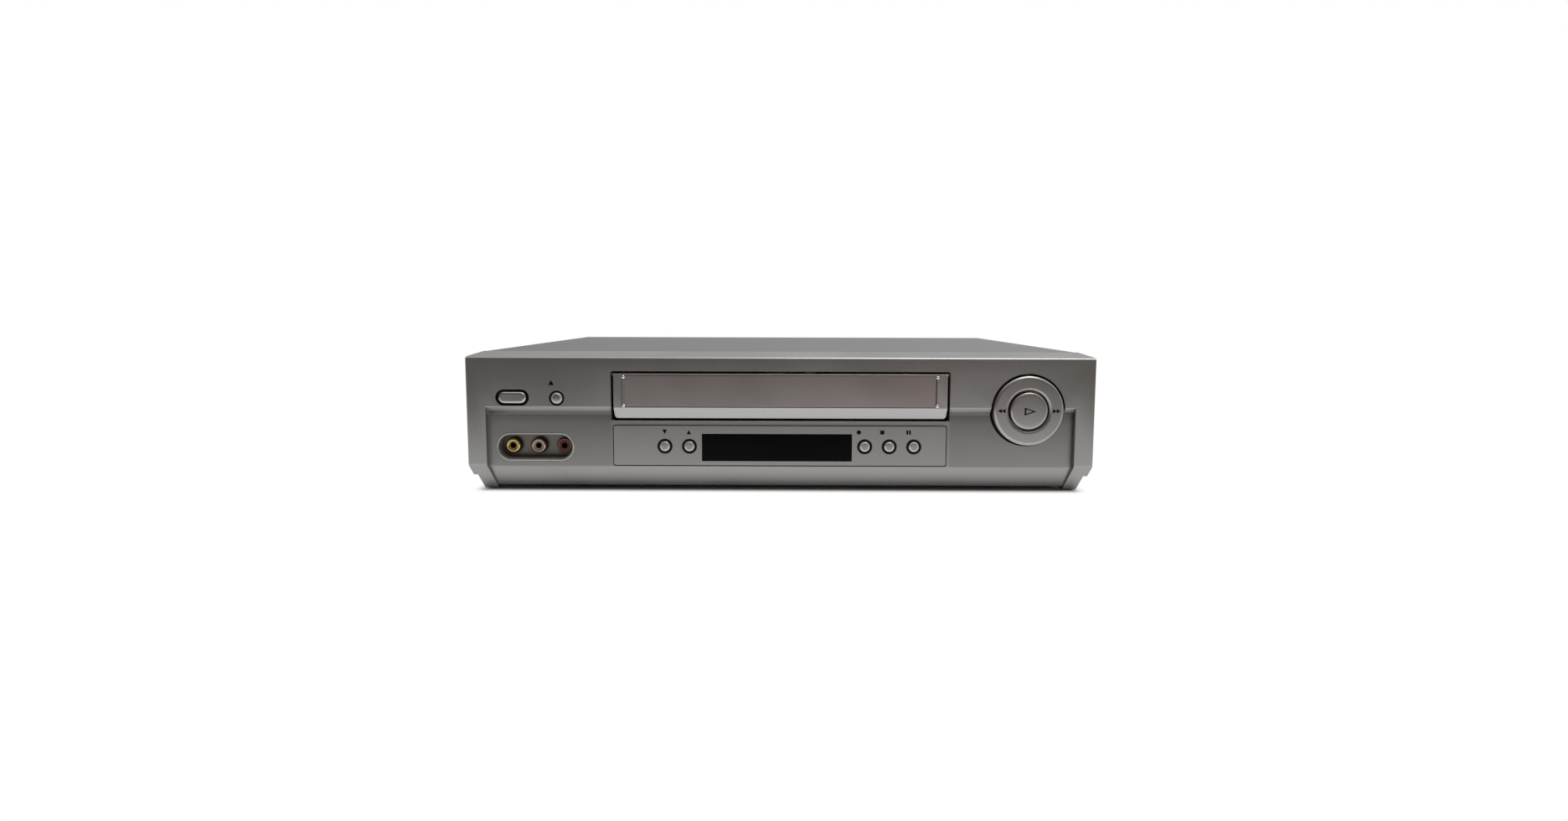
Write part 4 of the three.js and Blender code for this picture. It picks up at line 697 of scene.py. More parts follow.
def make_window():
    outline = rectangle(WINDOW_SPAN_X, WINDOW_SPAN_Z, 0.4)
    glass = prism("display_window_glass", outline, *GLASS_DEPTHS)
    across, upward = (grown(span, GLASS_REACH) for span in (WINDOW_SPAN_X, WINDOW_SPAN_Z))
    return soften(join(glass, block("flange", across, GLASS_FLANGE, upward)), 0.2)


place(make_panel(), "bezel_plastic", "control_panel")
place(make_panel_gap_shade(), "black_plastic")
place(make_window(), "window_black", "display_window")


# Push buttons: depths run from the front face back
CAP_RIM = 1.1
CROWN_STEPS = 8
EDGE_SLOPE = 0.78
SKIRT_INSET = 0.3
RIM_PROUD = 0.03
RIM_WALL = 0.5
STEM = 1.5
STEM_BACK = 9.4
FLANGE = 1.2
BIG_CAP_FACE = -0.9
BIG_PAINT_END = 0.4
BIG_FLANGE_FRONT = 2.8
SHADE_LINING_WALL = 0.45
FRONT_SHADE_LINING = (0.4, 2.6)
PANEL_SHADE_LINING = (3.4, 5.6)
EASED = ((1, 0), (0.78, 0.05), (0.6, 0.18), (0.18, 0.6), (0.05, 0.78), (0, 1))


def eased(radius, face, size, side=1):
    """The slanted, round-ended edge from a face to its outer rim (side 1) or bore (side -1)."""
    return [(radius - side * size * a, face + size * EDGE_SLOPE * b) for a, b in EASED]


def crowned(radius, face, crown):
    """A dome from its middle to its rim, with an eased edge."""
    inner = radius - CAP_RIM
    curve = [(inner * i / CROWN_STEPS, face + crown * (i / CROWN_STEPS) ** 2)
             for i in range(CROWN_STEPS)]
    return curve + eased(radius, face + crown, CAP_RIM)


def place_shade_lining(name, centre, radius, depths):
    """Painted shade: a black lining of a round button's hole."""
    start, end = depths
    inner = radius - SHADE_LINING_WALL
    outline = [(inner, end), (inner, start), (radius, start), (radius, end)]
    place(smooth(turned(name, outline, centre, ring=True)), "black_plastic")


def place_round_button(name, paint, centre, radius, face, crown, paint_end, flange, flange_front):
    """A painted cap, its rim in painted highlight, on a black skirt with its flange and stem."""
    dome = crowned(radius, face, crown)
    cap = turned(name + "_cap", [*dome, (radius, paint_end), (0, paint_end)], centre)
    start, slim, flange_back = paint_end - SINK, radius - SKIRT_INSET, flange_front + FLANGE
    skirt = turned(name + "_skirt", [
        (0, start), (slim, start), (slim, flange_front), (flange, flange_front),
        (flange, flange_back), (STEM, flange_back), (STEM, STEM_BACK), (0, STEM_BACK),
    ], centre)
    front, outer = face + crown - RIM_PROUD, radius + RIM_PROUD
    rim = turned(name + "_rim", [
        *eased(outer, front, CAP_RIM), (outer, start), (radius - RIM_WALL, start),
        (radius - CAP_RIM, front + 0.4),
    ], centre, ring=True)
    place(smooth(cap), "button_plastic", name, look=paint, body=name)
    place(smooth(rim), "button_plastic", look=PAINTED_HIGHLIGHT_RIM, body=name)
    # The skirt's black is partly the moulding's own and partly painted shade in the gap round the
    # cap
    place(smooth(skirt), "black_plastic", body=name)


def make_power_cap():
    length, height = POWER_CAP
    face = BIG_CAP_FACE
    edge = [(CAP_RIM * a, CAP_RIM * EDGE_SLOPE * b + face) for a, b in EASED]
    layers = [(CAP_RIM + 0.5, face), *edge, (0, BIG_PAINT_END)]
    return smooth(layered("power_button_cap", [
        (pill(*POWER_PLACE, length - 2 * inset, height - 2 * inset), depth)
        for inset, depth in layers]))


def make_power_skirt():
    length, height = (size - 2 * SKIRT_INSET for size in POWER_CAP)
    skirt = prism("power_button_skirt", pill(*POWER_PLACE, length, height), BIG_PAINT_END - SINK,
                  BIG_FLANGE_FRONT + SINK)
    flange = prism("flange", pill(*POWER_PLACE, 20.6, 10.8), BIG_FLANGE_FRONT,
                   BIG_FLANGE_FRONT + FLANGE)
    stem = rod("stem", STEM, BIG_FLANGE_FRONT + FLANGE - SINK, STEM_BACK, POWER_PLACE, sides=COARSE)
    return smooth(join(skirt, flange, stem))


# Painted shade: a black lining of the power button's hole
def make_power_shade_lining():
    shade_lining = prism("power_hole_shade_lining", pill(*POWER_PLACE, *POWER_HOLE), *FRONT_SHADE_LINING)
    inner = pill(*POWER_PLACE, *(size - 0.7 for size in POWER_HOLE))
    return cut(shade_lining, prism("inner", inner, 0, OVERRUN))


for node_name, across in ROUND_BUTTONS.items():
    middle = (across, ROUND_HEIGHT)
    place_round_button(node_name, SHADED_SMALL_CAPS, middle, ROUND_CAP, face=1.8, crown=0.02,
                       paint_end=3.0, flange=4.85, flange_front=5.8)
    place_shade_lining(node_name + "_hole_shade_lining", middle, ROUND_HOLE, PANEL_SHADE_LINING)
place_shade_lining("eject_hole_shade_lining", EJECT_PLACE, EJECT_HOLE, FRONT_SHADE_LINING)
place(make_power_shade_lining(), "black_plastic")
place_round_button("eject_button", None, EJECT_PLACE, EJECT_CAP, BIG_CAP_FACE, crown=0.1,
                   paint_end=BIG_PAINT_END, flange=5.1, flange_front=BIG_FLANGE_FRONT)
place(make_power_cap(), "button_plastic", "power_button", body="power_button")
place(make_power_skirt(), "black_plastic", body="power_button")


# Seek ring and play button
RING_EDGE = 1.5
RING_BACK = 8.6
RING_BODY = (18, 3)
LUG_HALF = 2
LUG_FRONT = 7
LUG_SPAN = (19, 23.4)
PLAY_CROWN = 0.1
PLAY_BACK = (3.8, 5.0)
PLAY_WALL = 13.6


def make_ring():
    shell, front = RING_BODY
    outline = [
        (RING_BORE, front), *reversed(eased(RING_BORE, RING_FACE, RING_EDGE, -1)),
        (RING_BORE + 2, RING_FACE), (RING_RADIUS - 2, RING_FACE),
        *eased(RING_RADIUS, RING_FACE, RING_EDGE), (RING_RADIUS, RING_BACK), (shell, RING_BACK),
        (shell, front),
    ]
    ring = smooth(turned("seek_ring_body", outline, RING_PLACE, sides=RING_SIDES, ring=True))
    x, z = RING_PLACE
    lugs = [block("lug", (x - LUG_HALF, x + LUG_HALF), (LUG_FRONT, RING_BACK),
                  [z + side * reach for reach in LUG_SPAN]) for side in SIDES]
    return gather(ring, *lugs)


def make_play():
    front, back = PLAY_BACK
    outline = [
        *crowned(PLAY_RADIUS, PLAY_FACE + RIM_PROUD, PLAY_CROWN), (PLAY_RADIUS, front),
        (PLAY_WALL, front), (PLAY_WALL, back), (STEM, back), (STEM, STEM_BACK), (0, STEM_BACK),
    ]
    return smooth(turned("play_button_cap", outline, RING_PLACE, sides=RING_SIDES))


place(make_ring(), "button_plastic", "seek_ring", look=RING_PAINT, body="seek_ring")
place(make_play(), "button_plastic", "play_button", look=RING_PAINT, body="play_button")


# Printed signs, which hold no lettering
PRINT_PROUD = 0.04
PRINT_SUNK = 0.02


def printed(name, outlines, face):
    marks = [prism(name, outline, face - PRINT_PROUD, face + PRINT_SUNK) for outline in outlines]
    return gather(*marks)


def triangle(x, z, width, height, heading):
    """A triangle that points right, left, up or down."""
    half_w, half_h = width / 2, height / 2
    shapes = {
        "right": [(-half_w, -half_h), (half_w, 0), (-half_w, half_h)],
        "left": [(half_w, -half_h), (half_w, half_h), (-half_w, 0)],
        "up": [(-half_w, -half_h), (half_w, -half_h), (0, half_h)],
        "down": [(-half_w, half_h), (0, -half_h), (half_w, half_h)],
    }
    return [(x + u, z + v) for u, v in shapes[heading]]


def disc(x, z, radius):
    turns = [math.tau * i / SMALL_SIDES for i in range(SMALL_SIDES)]
    return [(x + radius * math.cos(a), z + radius * math.sin(a)) for a in turns]


def make_ring_signs():
    """Two triangles at each side of the ring."""
    x, z = RING_PLACE
    outlines = [triangle(x + side * 15.7 + move, z, 2.3, 2.5, heading)
                for side, heading in zip(SIDES, ("left", "right")) for move in (-1.1, 1.1)]
    return printed("seek_ring_signs", outlines, RING_FACE)


def make_play_sign():
    """The outline of a triangle, a little off the middle of the button."""
    x, z = RING_PLACE[0] + 0.3, RING_PLACE[1] - 0.2
    outer = prism("play_sign", triangle(x + 0.2, z, 6.6, 4.6, "right"), PLAY_FACE, PLAY_FACE + 0.2)
    inner = triangle(x - 0.25, z, 3.8, 2.7, "right")
    return cut(outer, prism("inner", inner, PLAY_FACE - MARGIN, PLAY_FACE + MARGIN))


def make_panel_signs():
    z = 36.5
    outlines = [
        triangle(-67, z + 0.1, 2.6, 2.7, "down"), triangle(-53, z - 0.1, 2.7, 2.5, "up"),
        disc(45.4, z + 0.1, 1.25), rectangle((57.8, 60.1), (z - 1.05, z + 1.2)),
        rectangle((72.9, 73.95), (z - 1.1, z + 1.3)), rectangle((74.4, 75.45), (z - 1.1, z + 1.3)),
    ]
    return printed("panel_signs", outlines, PANEL_FACE)


place(make_ring_signs(), "black_plastic", look=BLACK_PRINT_AND_SHADOW, body="seek_ring")
place(make_play_sign(), "black_plastic", look=BLACK_PRINT_AND_SHADOW, body="play_button")
place(make_panel_signs(), "black_plastic", look=BLACK_PRINT_AND_SHADOW)
eject_sign = triangle(-131.3, 65.3, 3.1, 2.8, "up")
place(printed("eject_sign", [eject_sign], 0), "black_plastic", look=BLACK_PRINT_AND_SHADOW)


# Pegs in the corners of the door's facing, and the painted shadow lines beside them
PEG_OUTLINE = [(0, -0.95), (0.45, -0.85), (0.85, -0.55), (1.08, -0.15), (1.15, 0.2), (1.15, 0.65),
               (0, 0.65)]
PEG_ACROSS = 89.95
PEG_HEIGHTS = (52.1, 68.7)
PEG_ANGLE = 50
SHADOW_LINES = ((-91, 0.3), (89.0, 0.4))
SHADOW_LINE_DEPTHS = (-0.03, 0.1)
SHADOW_LINE_SPAN = (52.9, 67.9)


def make_facing_pegs():
    pegs = [turned("door_facing_pegs", PEG_OUTLINE, (side * PEG_ACROSS, height), sides=COARSE)
            for side in SIDES for height in PEG_HEIGHTS]
    return smooth(gather(*pegs), PEG_ANGLE)


# Painted shadow: thin dark lines at each end of the facing, between its pegs
def make_facing_shadow_lines():
    return gather(*(block("door_facing_shadow_lines", (x, x + wide), SHADOW_LINE_DEPTHS, SHADOW_LINE_SPAN)
                    for x, wide in SHADOW_LINES))


place(make_facing_pegs(), "button_plastic", look=PEG, body="door")
place(make_facing_shadow_lines(), "black_plastic", look=BLACK_PRINT_AND_SHADOW, body="door")


# Front input jacks in their recess: place across, slot, the sleeve's finish and its bore
JACKS = {
    "video_in_jack": (-156.8, "yellow_plastic", "gold_plate", (0.66, 0.49, 0.19), 0.22, 2.4),
    "audio_left_in_jack": (-141.8, "white_plastic", "copper_plate", (0.5, 0.37, 0.26), 0.22, 2.6),
    "audio_right_in_jack": (-126.6, "red_plastic", "bronze_plate", (0.34, 0.19, 0.13), 0.3, 3.35),
}
JACK_HEIGHT = 27.5
JACK_OUTLINE = [(0, 16), (1.7, 16), (1.7, 8.4), (1.9, 8.2), (3.4, 8.2), (3.4, 13), (5, 13), (5, 24),
                (0, 24)]
COLLAR_OUTLINE = [(4.1, 11.6), (4.1, 9.2), (4.6, 9.2), (4.75, 9.4), (4.75, 11.6)]
BORE_OUTLINE = [(0, 15.8), (1.55, 15.8), (1.55, 8.6), (1.75, 8.6), (1.75, 16.2), (0, 16.2)]
SLEEVE_RADIUS = 4.15
SLEEVE_DEPTHS = (8.5, 11.4)
SLEEVE_ROUND = 0.5
SLEEVE_STEPS = 9
CUP_GAP = 0.6
CUP_DEPTHS = (4.3, 12.7)
CUP_FLANGE = (6.8, 8)
TRIM_DEPTHS = (3.7, 5.4)
JACK_HOLE = (3.6, 8, 16)


def jack_recess(less):
    """The recess's outline, made smaller by so much in length and in height."""
    x, z, length, height = JACK_RECESS
    return pill(x, z, length - less, height - less)


def make_jack_housing():
    cup = prism("front_jack_cup", jack_recess(CUP_GAP), *CUP_DEPTHS)
    flange = prism("flange", jack_recess(CUP_GAP - 3.2), *CUP_FLANGE)
    hollow = prism("hollow", jack_recess(CUP_GAP + 2.4), 0, 11.5)
    holes = [rod("hole", *JACK_HOLE, (jack[0], JACK_HEIGHT)) for jack in JACKS.values()]
    return soften(cut(join(cup, flange), hollow, *holes), 0.3)


# A ring just inside the rim of the jacks' recess, whose paleness is painted highlight
def make_jack_rim_highlight():
    trim = prism("front_jack_rim_highlight", jack_recess(0.1), *TRIM_DEPTHS)
    return soften(cut(trim, prism("inner", jack_recess(1.9), 3, 6)), 0.4)


def make_jack_sleeve(name, centre, inner):
    """A shell with a rounded front."""
    front, back = SLEEVE_DEPTHS
    middle, half = (SLEEVE_RADIUS + inner) / 2, (SLEEVE_RADIUS - inner) / 2
    turns = [math.pi * i / SLEEVE_STEPS for i in range(SLEEVE_STEPS + 1)]
    curve = [(middle - half * math.cos(a), front - SLEEVE_ROUND * math.sin(a)) for a in turns]
    outline = [(inner, back), *curve, (SLEEVE_RADIUS, back)]
    return smooth(turned(name + "_sleeve", outline, centre, ring=True))


def make_jack_blacks(name, centre):
    """Painted shade: the black collar round a jack and the black lining of its bore."""
    collar = turned(name + "_collar", COLLAR_OUTLINE, centre, ring=True)
    return smooth(gather(collar, turned("shade_lining", BORE_OUTLINE, centre)))


place(make_jack_housing(), "black_plastic", "front_jack_housing", look=RECESS)
place(make_jack_rim_highlight(), "bezel_plastic", look=JACK_RIM_HIGHLIGHT)
for node_name, (across, slot, plate_name, colour, roughness, bore) in JACKS.items():
    middle = (across, JACK_HEIGHT)
    plating = finish(plate_name, colour, roughness, 1.0, relief=0.1, crevice_shade=0.4)
    place(smooth(turned(node_name + "_body", JACK_OUTLINE, middle)), slot, node_name)
    place(make_jack_sleeve(node_name, middle, bore), "steel", look=plating)
    place(make_jack_blacks(node_name, middle), "black_plastic")


# Top cover with its vents, and the screws that hold it
COVER_HALF = 178.4
COVER_SPAN = (25.3, 268)
COVER_WALL = 0.8
COVER_BOTTOM = 5
COVER_CORNERS = (2, 1.2)
SIDE_TO_SIDE = (-200, 200)
VENT_FRONTS = range(190, 240, 7)
VENT_WIDTH = 2.5
VENT_SPAN = (34, 56)
VENT_CORNER = 1.2
COVER_SCREW = (72, 20)
SCREW_HOLE = 1.8
SCREW_OUTLINE = ((0, -7), (1.2, -7), (1.2, 0), (3.2, 0), (3.2, 0.4), (2.6, 0.85), (1.6, 1.1),
                 (0, 1.2))


def make_cover():
    half, top = COVER_HALF, HEIGHT
    inner, ceiling = half - COVER_WALL, HEIGHT - COVER_WALL
    outer_round, inner_round = COVER_CORNERS
    hood = prism("top_cover_sheet", rounded([
        (-half, COVER_BOTTOM), (-half, top, outer_round), (half, top, outer_round),
        (half, COVER_BOTTOM), (inner, COVER_BOTTOM), (inner, ceiling, inner_round),
        (-inner, ceiling, inner_round), (-inner, COVER_BOTTOM),
    ]), *COVER_SPAN)
    slots = [prism("slot", rectangle((front, front + VENT_WIDTH), VENT_SPAN, VENT_CORNER),
                   *SIDE_TO_SIDE, "x") for front in VENT_FRONTS]
    slots.append(rod("hole", SCREW_HOLE, *SIDE_TO_SIDE, COVER_SCREW, "x", COARSE))
    return soften(cut(hood, *slots), 0.2)


def make_cover_screw(name, side):
    face = COVER_HALF + 0.15
    y, z = COVER_SCREW
    outline = [(radius, side * (face + rise)) for radius, rise in SCREW_OUTLINE]
    screw = turned(name + "_body", outline, COVER_SCREW, "x", SMALL_SIDES)
    cross = [block("cross", (side * (face + 0.5), side * (face + OVERRUN)), (y - a, y + a),
                   (z - b, z + b)) for a, b in ((1.7, 0.3), (0.3, 1.7))]
    return smooth(cut(screw, *cross))


place(make_cover(), "cover_paint", "top_cover")
for side, side_name in zip(SIDES, ("left", "right")):
    name = f"cover_screw_{side_name}"
    place(make_cover_screw(name, side), "steel", name)


# Rear panel with its pressed frames and screws
REAR_SHEET = (265, 266.2)
PANEL_REAR = REAR_SHEET[1]
REAR_HALF = 177.3
REAR_BOTTOM = 4.7
REAR_TOP = 81
REAR_CUT = (260, 270)
PRESSED_FRAMES = (((-109, 11), (16, 46)), ((22, 48), (12, 56)), ((-156, -130), (12, 58)),
                  ((122, 158), (10, 38)))
PRESSED_WIDTH = 1.6
PRESSED_DEPTHS = (PANEL_REAR - 0.4, PANEL_REAR + 0.5)
SCART_PLACES = {"scart_socket_1": -78, "scart_socket_2": -20}
SCART_HEIGHT = 30
SCART_HALF = (25, 9.5)
SCART_CORNER = 5
INLET_PLACE = (140, 24)
INLET_WAY = (24.8, 16.8)
AUDIO_OUTS = {(35, 44): "white_plastic", (35, 24): "red_plastic"}
AUDIO_OUT_HOLE = 4.55
TUNER_SOCKETS = ((-143, 24), (-143, 46))
TUNER_HOLE = 5.6
REAR_SCREWS = ((-168, 72), (-56, 72), (56, 72), (168, 72), (-49, 20.5), (35, 34))
REAR_SCREW_HEAD = ((0, -0.3), (2.8, -0.3), (2.8, 0.5), (2.3, 1.1), (1.3, 1.5), (0, 1.6))


def scart_outline(x, inset):
    half, rise = SCART_HALF[0] - inset, SCART_HALF[1] - inset
    left, right, low, high = x - half, x + half, SCART_HEIGHT - rise, SCART_HEIGHT + rise
    return [(left, low), (right - SCART_CORNER, low), (right, low + SCART_CORNER), (right, high),
            (left, high)]


def make_rear_panel():
    sheet = prism("rear_panel_sheet", rounded([
        (-REAR_HALF, REAR_BOTTOM), (-REAR_HALF, REAR_TOP, 1.2), (REAR_HALF, REAR_TOP, 1.2),
        (REAR_HALF, REAR_BOTTOM),
    ]), *REAR_SHEET)
    frames = []
    for across, upward in PRESSED_FRAMES:
        outer = prism("pressed_frame", rectangle(across, upward, 3), *PRESSED_DEPTHS)
        inner = rectangle(grown(across, -PRESSED_WIDTH), grown(upward, -PRESSED_WIDTH), 2)
        frames.append(cut(outer, prism("inside", inner, *REAR_CUT)))
    openings = [prism("opening", scart_outline(x, -0.4), *REAR_CUT) for x in SCART_PLACES.values()]
    openings.append(prism("opening", pill(*INLET_PLACE, *INLET_WAY), *REAR_CUT))
    openings += [rod("opening", AUDIO_OUT_HOLE, *REAR_CUT, middle) for middle in AUDIO_OUTS]
    openings += [rod("opening", TUNER_HOLE, *REAR_CUT, middle) for middle in TUNER_SOCKETS]
    return soften(cut(join(sheet, *frames), *openings), 0.15, 2)


def make_rear_screws():
    outline = [(radius, PANEL_REAR + rise) for radius, rise in REAR_SCREW_HEAD]
    screws = []
    for x, z in REAR_SCREWS:
        head = turned("panel_screw", outline, (x, z), sides=SMALL_SIDES)
        depths = (PANEL_REAR + 0.8, PANEL_REAR + OVERRUN)
        cross = [block("cross", (x - a, x + a), depths, (z - b, z + b))
                 for a, b in ((1.6, 0.3), (0.3, 1.6))]
        screws.append(smooth(cut(head, *cross)))
    return gather(*screws)


place(make_rear_panel(), "zinc_plate", "rear_panel")
place(make_rear_screws(), "steel")


# Sockets on the rear. Their feet stand on the main board and end just before the panel.
SCART_FRONT = 246
FEET_BACK = 264.7
BOARD_TOP = 10.9
CONTACT_ROWS = ((SCART_HEIGHT + 2.9, -15.6), (SCART_HEIGHT - 2.9, -17.5))
CONTACT_PITCH = 3.8
CONTACT_HALF = (0.7, 2.1)
AUDIO_SLEEVE = [(3.3, 264.9), (4.15, 264.9), (4.15, 274.3), (3.95, 274.7), (3.6, 274.7),
                (3.4, 274.4), (3.4, 270.0), (3.3, 269.8)]
AUDIO_CORE = [(1.5, 268), (3.36, 268), (3.36, 272.9), (3.1, 273.2), (1.95, 273.2), (1.5, 272.8)]
INLET_PIN = [(0, 254), (1.2, 254), (1.2, 264.6), (0.9, 265.1), (0.4, 265.2), (0, 265.2)]
PIN_ACROSS = 3.35
TUNER_VENTS = range(210, 247, 9)
THREAD_START = 267.2
THREAD_PITCH = 1.1
THREAD_TURNS = 7
THREAD = ((4.75, 0), (5.2, 0.3), (5.2, 0.6), (4.75, 0.9))
CORE_OUTLINE = [(0.6, 264), (4.3, 264), (4.3, 267.9), (1.4, 267.9), (1.3, 275.2), (1.1, 275.4),
                (0.75, 275.4), (0.6, 275.0)]


def make_scart(name, x):
    shell = prism(name + "_shell", scart_outline(x, 0), SCART_FRONT, 269.2)
    groove = cut(prism("groove", scart_outline(x, 1.6), 261.2, 272),
                 prism("core", scart_outline(x, 3.8), 260, 273))
    half, rise = CONTACT_HALF
    contacts = [block("contact", (x + across - half, x + across + half), (262.2, 272),
                      (z - rise, z + rise))
                for z, first in CONTACT_ROWS
                for across in (first + CONTACT_PITCH * i for i in range(10))]
    body = cut(shell, groove, *contacts)
    feet = block("feet", (x - 20, x + 20), (SCART_FRONT, FEET_BACK), (BOARD_TOP, SCART_HEIGHT))
    return soften(join(body, feet), 0.2, 2)


def make_scart_shield(name, x):
    outer = prism(name + "_shield", scart_outline(x, 2.3), 261.0, 268.6)
    return soften(cut(outer, prism("inside", scart_outline(x, 2.9), 259, 272)), 0.1, 2)


def make_audio_block():
    shell = block("audio_output_block", (27, 43), (250, FEET_BACK), (11, 56))
    necks = [rod("neck", 3.3, 251, 270.2, middle) for middle in AUDIO_OUTS]
    bores = [rod("bore", 1.7, 266.7, 276, middle, sides=COARSE) for middle in AUDIO_OUTS]
    return soften(cut(join(shell, *necks), *bores), 0.2, 2)


def make_inlet():
    x, z = INLET_PLACE
    body = prism("ac_inlet_body", pill(x, z, 24, 16), SCART_FRONT, 267.7)
    feet = block("feet", (x - 12, x + 12), (SCART_FRONT, FEET_BACK), (BOARD_TOP, z))
    cavity = prism("cavity", pill(x, z, 17, 8.4), 255.7, 270)
    return soften(cut(join(body, feet), cavity), 0.3)


def make_inlet_pins():
    x, z = INLET_PLACE
    pins = [turned("ac_inlet_pins", INLET_PIN, (x + side * PIN_ACROSS, z), sides=COARSE)
            for side in SIDES]
    return smooth(gather(*pins))


def make_tuner():
    can = block("tuner_can", (-164, -122), (196, FEET_BACK), (BOARD_TOP, 62))
    lid = block("lid", (-163.3, -122.7), (197, 263.5), (61.4, 62))
    vents = [block("vent", (-155, -131), (front, front + 3), (60, 63)) for front in TUNER_VENTS]
    return soften(cut(join(can, lid), *vents), 0.4)


def make_tuner_socket(centre):
    """A sleeve with a thread of seven separate ridges."""
    thread = [(radius, THREAD_START + i * THREAD_PITCH + rise)
              for i in range(THREAD_TURNS) for radius, rise in THREAD]
    outline = [(4.2, 264), (5.2, 264), (5.2, 266.9), *thread, (4.75, 275.3), (4.55, 275.7),
               (4.15, 275.7), (4.0, 275.5), (4.0, 267.7), (4.2, 267.5)]
    return smooth(turned("tuner_socket", outline, centre, ring=True))


for node_name, across in SCART_PLACES.items():
    place(make_scart(node_name, across), "black_plastic", node_name)
    place(make_scart_shield(node_name, across), "steel")
place(make_audio_block(), "black_plastic", "audio_output_jacks")
for middle, slot in AUDIO_OUTS.items():
    sleeve = smooth(turned("audio_output_sleeve", AUDIO_SLEEVE, middle, ring=True))
    place(sleeve, "steel", look=NICKEL)
    insulator = smooth(turned("audio_output_insulator", AUDIO_CORE, middle, ring=True))
    place(insulator, slot)
place(make_inlet(), "black_plastic", "ac_inlet")
place(make_inlet_pins(), "steel", look=NICKEL)
place(make_tuner(), "zinc_plate", "tuner_module")
for middle in TUNER_SOCKETS:
    place(make_tuner_socket(middle), "steel", look=NICKEL)
    core = smooth(turned("tuner_socket_core", CORE_OUTLINE, middle, sides=COARSE, ring=True))
    place(core, "white_plastic")


# Rubber feet under the rear
FOOT_OUTLINE = [(0, 0.4), (5, 0.4), (5.3, 0), (6.6, 0), (7.6, 0.5), (8, 1.4), (8, 1.9), (2, 1.9),
                (2, 5.3), (0, 5.3)]
FOOT_PLACE = (158, 246)

for side, side_name in zip(SIDES, ("left", "right")):
    name = f"rear_foot_{side_name}"
    pad = turned(name + "_pad", FOOT_OUTLINE, (side * FOOT_PLACE[0], FOOT_PLACE[1]), "z")
    place(smooth(pad), "rubber", name)


# Softer edges on the carried-over sheet metal and mouldings
CARRIED_EDGES = {
    "base_frame": 0.25, "cassette_carriage": 0.25, "carriage_slider": 0.2, "deck_chassis": 0.2,
    "left_bracket": 0.15, "right_bracket": 0.15, "power_transformer": 0.5,
    "front_circuit_board": 0.1, "main_circuit_board": 0.1,
}
CARRIED_ANGLE = 40

for node_name, width in CARRIED_EDGES.items():
    round_edges(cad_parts[node_name], width, 2, CARRIED_ANGLE)


# Table, world, cards before the front and beside it, and the lamp, in metres
TABLE_REACH = 4
TABLE_HEIGHT = -0.0005
TABLE_LOOK = {"Base Color": (0.82, 0.82, 0.82, 1), "Roughness": 0.9, "Specular IOR Level": 0.1}
SHADOW_HALF = (0.174, 0.1235)
SHADOW_MIDDLE = FRONT + 0.1425
SHADOW_FADE = 0.011
WORLD_LIGHT = 0.4
CARD_PLACE = FRONT - 0.21
CARD_START = -1.5
CARD_END = 1.2
CARD_TOP = 0.5
CARD_ROUGHNESS = 0.9
WARM_SPAN = (0.085, 0.19)
SIDE_CARD_PLACE = -HALF_WIDTH * MM - 0.25
SIDE_CARD_SPAN = (-0.6, 0.4)
DARK_CARD_COLOUR = (0.2, 0.18, 0.15)
WARM_CARD_COLOUR = (0.37, 0.28, 0.245)
LAMP_PLACE = (0.46, -0.02, 1.4)
LAMP_SIZE = (0.86, 1.2)
LAMP_POWER = 11


def seen_directly(tree):
    """1 for rays from the camera and for mirrored or passed-through ones, else 0."""
    path = add_node(tree, "ShaderNodeLightPath").outputs
    either = computed(tree, "MAXIMUM", path["Is Camera Ray"], path["Is Glossy Ray"])
    return computed(tree, "MAXIMUM", either, path["Is Transmission Ray"])


def vector(tree, operation, *values):
    return computed(tree, operation, *values, kind="ShaderNodeVectorMath")


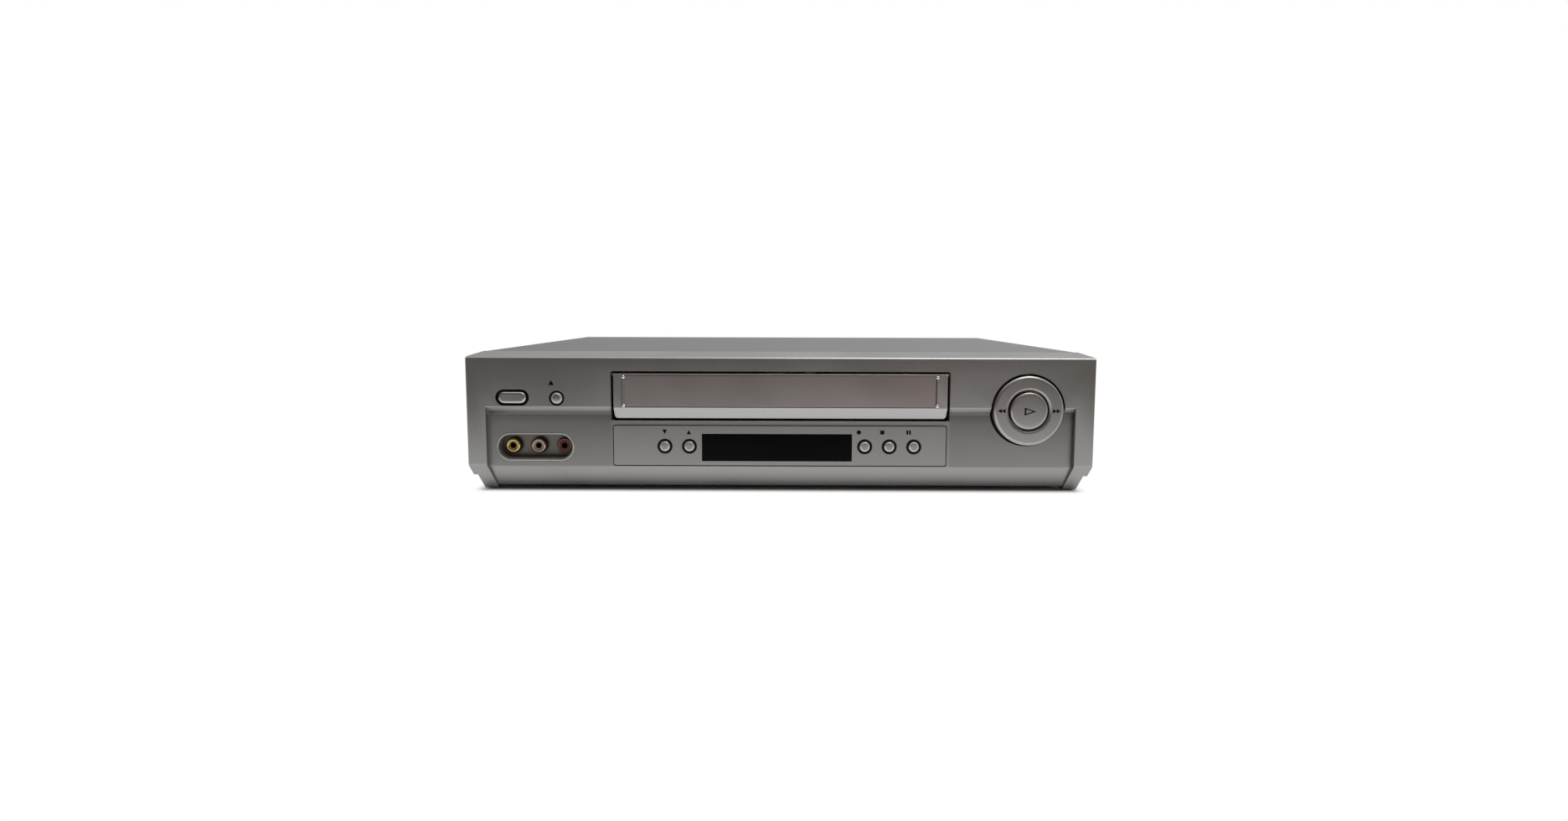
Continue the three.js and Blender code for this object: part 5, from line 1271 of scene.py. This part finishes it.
def make_table():
    """A floor that is white where it is seen directly, apart from the recorder's own shadow."""
    built = bmesh.new()
    corners = [built.verts.new((x * TABLE_REACH, y * TABLE_REACH, TABLE_HEIGHT))
               for x, y in ((-1, -1), (1, -1), (1, 1), (-1, 1))]
    built.faces.new(corners)
    floor = object_of("floor", built)
    material, tree, shader = new_material("white_table")
    fill(shader, TABLE_LOOK)
    spot = add_node(tree, "ShaderNodeTexCoord").outputs["Object"]
    folded = vector(tree, "ABSOLUTE", vector(tree, "SUBTRACT", spot, (0, SHADOW_MIDDLE, 0)))
    beyond = vector(tree, "SUBTRACT", folded, (*SHADOW_HALF, 1))
    outside = vector(tree, "MAXIMUM", beyond, (0, 0, 0))
    fade = ranged(tree, vector(tree, "LENGTH", outside), 0, SHADOW_FADE, way="SMOOTHSTEP")
    mix = add_node(tree, "ShaderNodeMixShader", {
        0: computed(tree, "MULTIPLY", seen_directly(tree), fade), 1: shader.outputs[0],
        2: add_node(tree, "ShaderNodeEmission").outputs[0],
    })
    fill(tree.nodes["Material Output"], {"Surface": mix.outputs[0]})
    floor.data.materials.append(material)
    return floor


def make_card(name, colour, *sheets):
    """Upright sheets that the camera doesn't see, each given by both ends of its foot."""
    built = bmesh.new()
    for (x0, y0), (x1, y1) in sheets:
        corners = ((x0, y0, 0), (x1, y1, 0), (x1, y1, CARD_TOP), (x0, y0, CARD_TOP))
        built.faces.new([built.verts.new(corner) for corner in corners])
    card = object_of(name, built)
    card.data.materials.append(finish(name, colour, CARD_ROUGHNESS))
    card.visible_camera = False
    return card


def make_world():
    world = bpy.data.worlds.new("studio")
    bpy.context.scene.world = world
    world.use_nodes = True
    tree = world.node_tree
    strength = ranged(tree, seen_directly(tree), 0, 1, WORLD_LIGHT)
    fill(tree.nodes["Background"], {"Color": (1, 1, 1, 1), "Strength": strength})


def make_lamp():
    """One soft lamp that shines straight down."""
    data = bpy.data.lights.new("overhead", "AREA")
    data.shape = "RECTANGLE"
    data.size, data.size_y = LAMP_SIZE
    data.energy = LAMP_POWER
    lamp = bpy.data.objects.new("overhead", data)
    lamp.location = LAMP_PLACE
    bpy.context.scene.collection.objects.link(lamp)


card_left, warm_left, warm_right, card_right = (
    (x, CARD_PLACE) for x in (CARD_START, *WARM_SPAN, CARD_END))
side_card = tuple((SIDE_CARD_PLACE, y) for y in SIDE_CARD_SPAN)
dark_card = make_card("dark_card", DARK_CARD_COLOUR, (card_left, warm_left),
                      (warm_right, card_right), side_card)
warm_card = make_card("warm_card", WARM_CARD_COLOUR, (warm_left, warm_right))
make_table()
make_world()
make_lamp()
bpy.context.scene.view_settings.view_transform = "Standard"
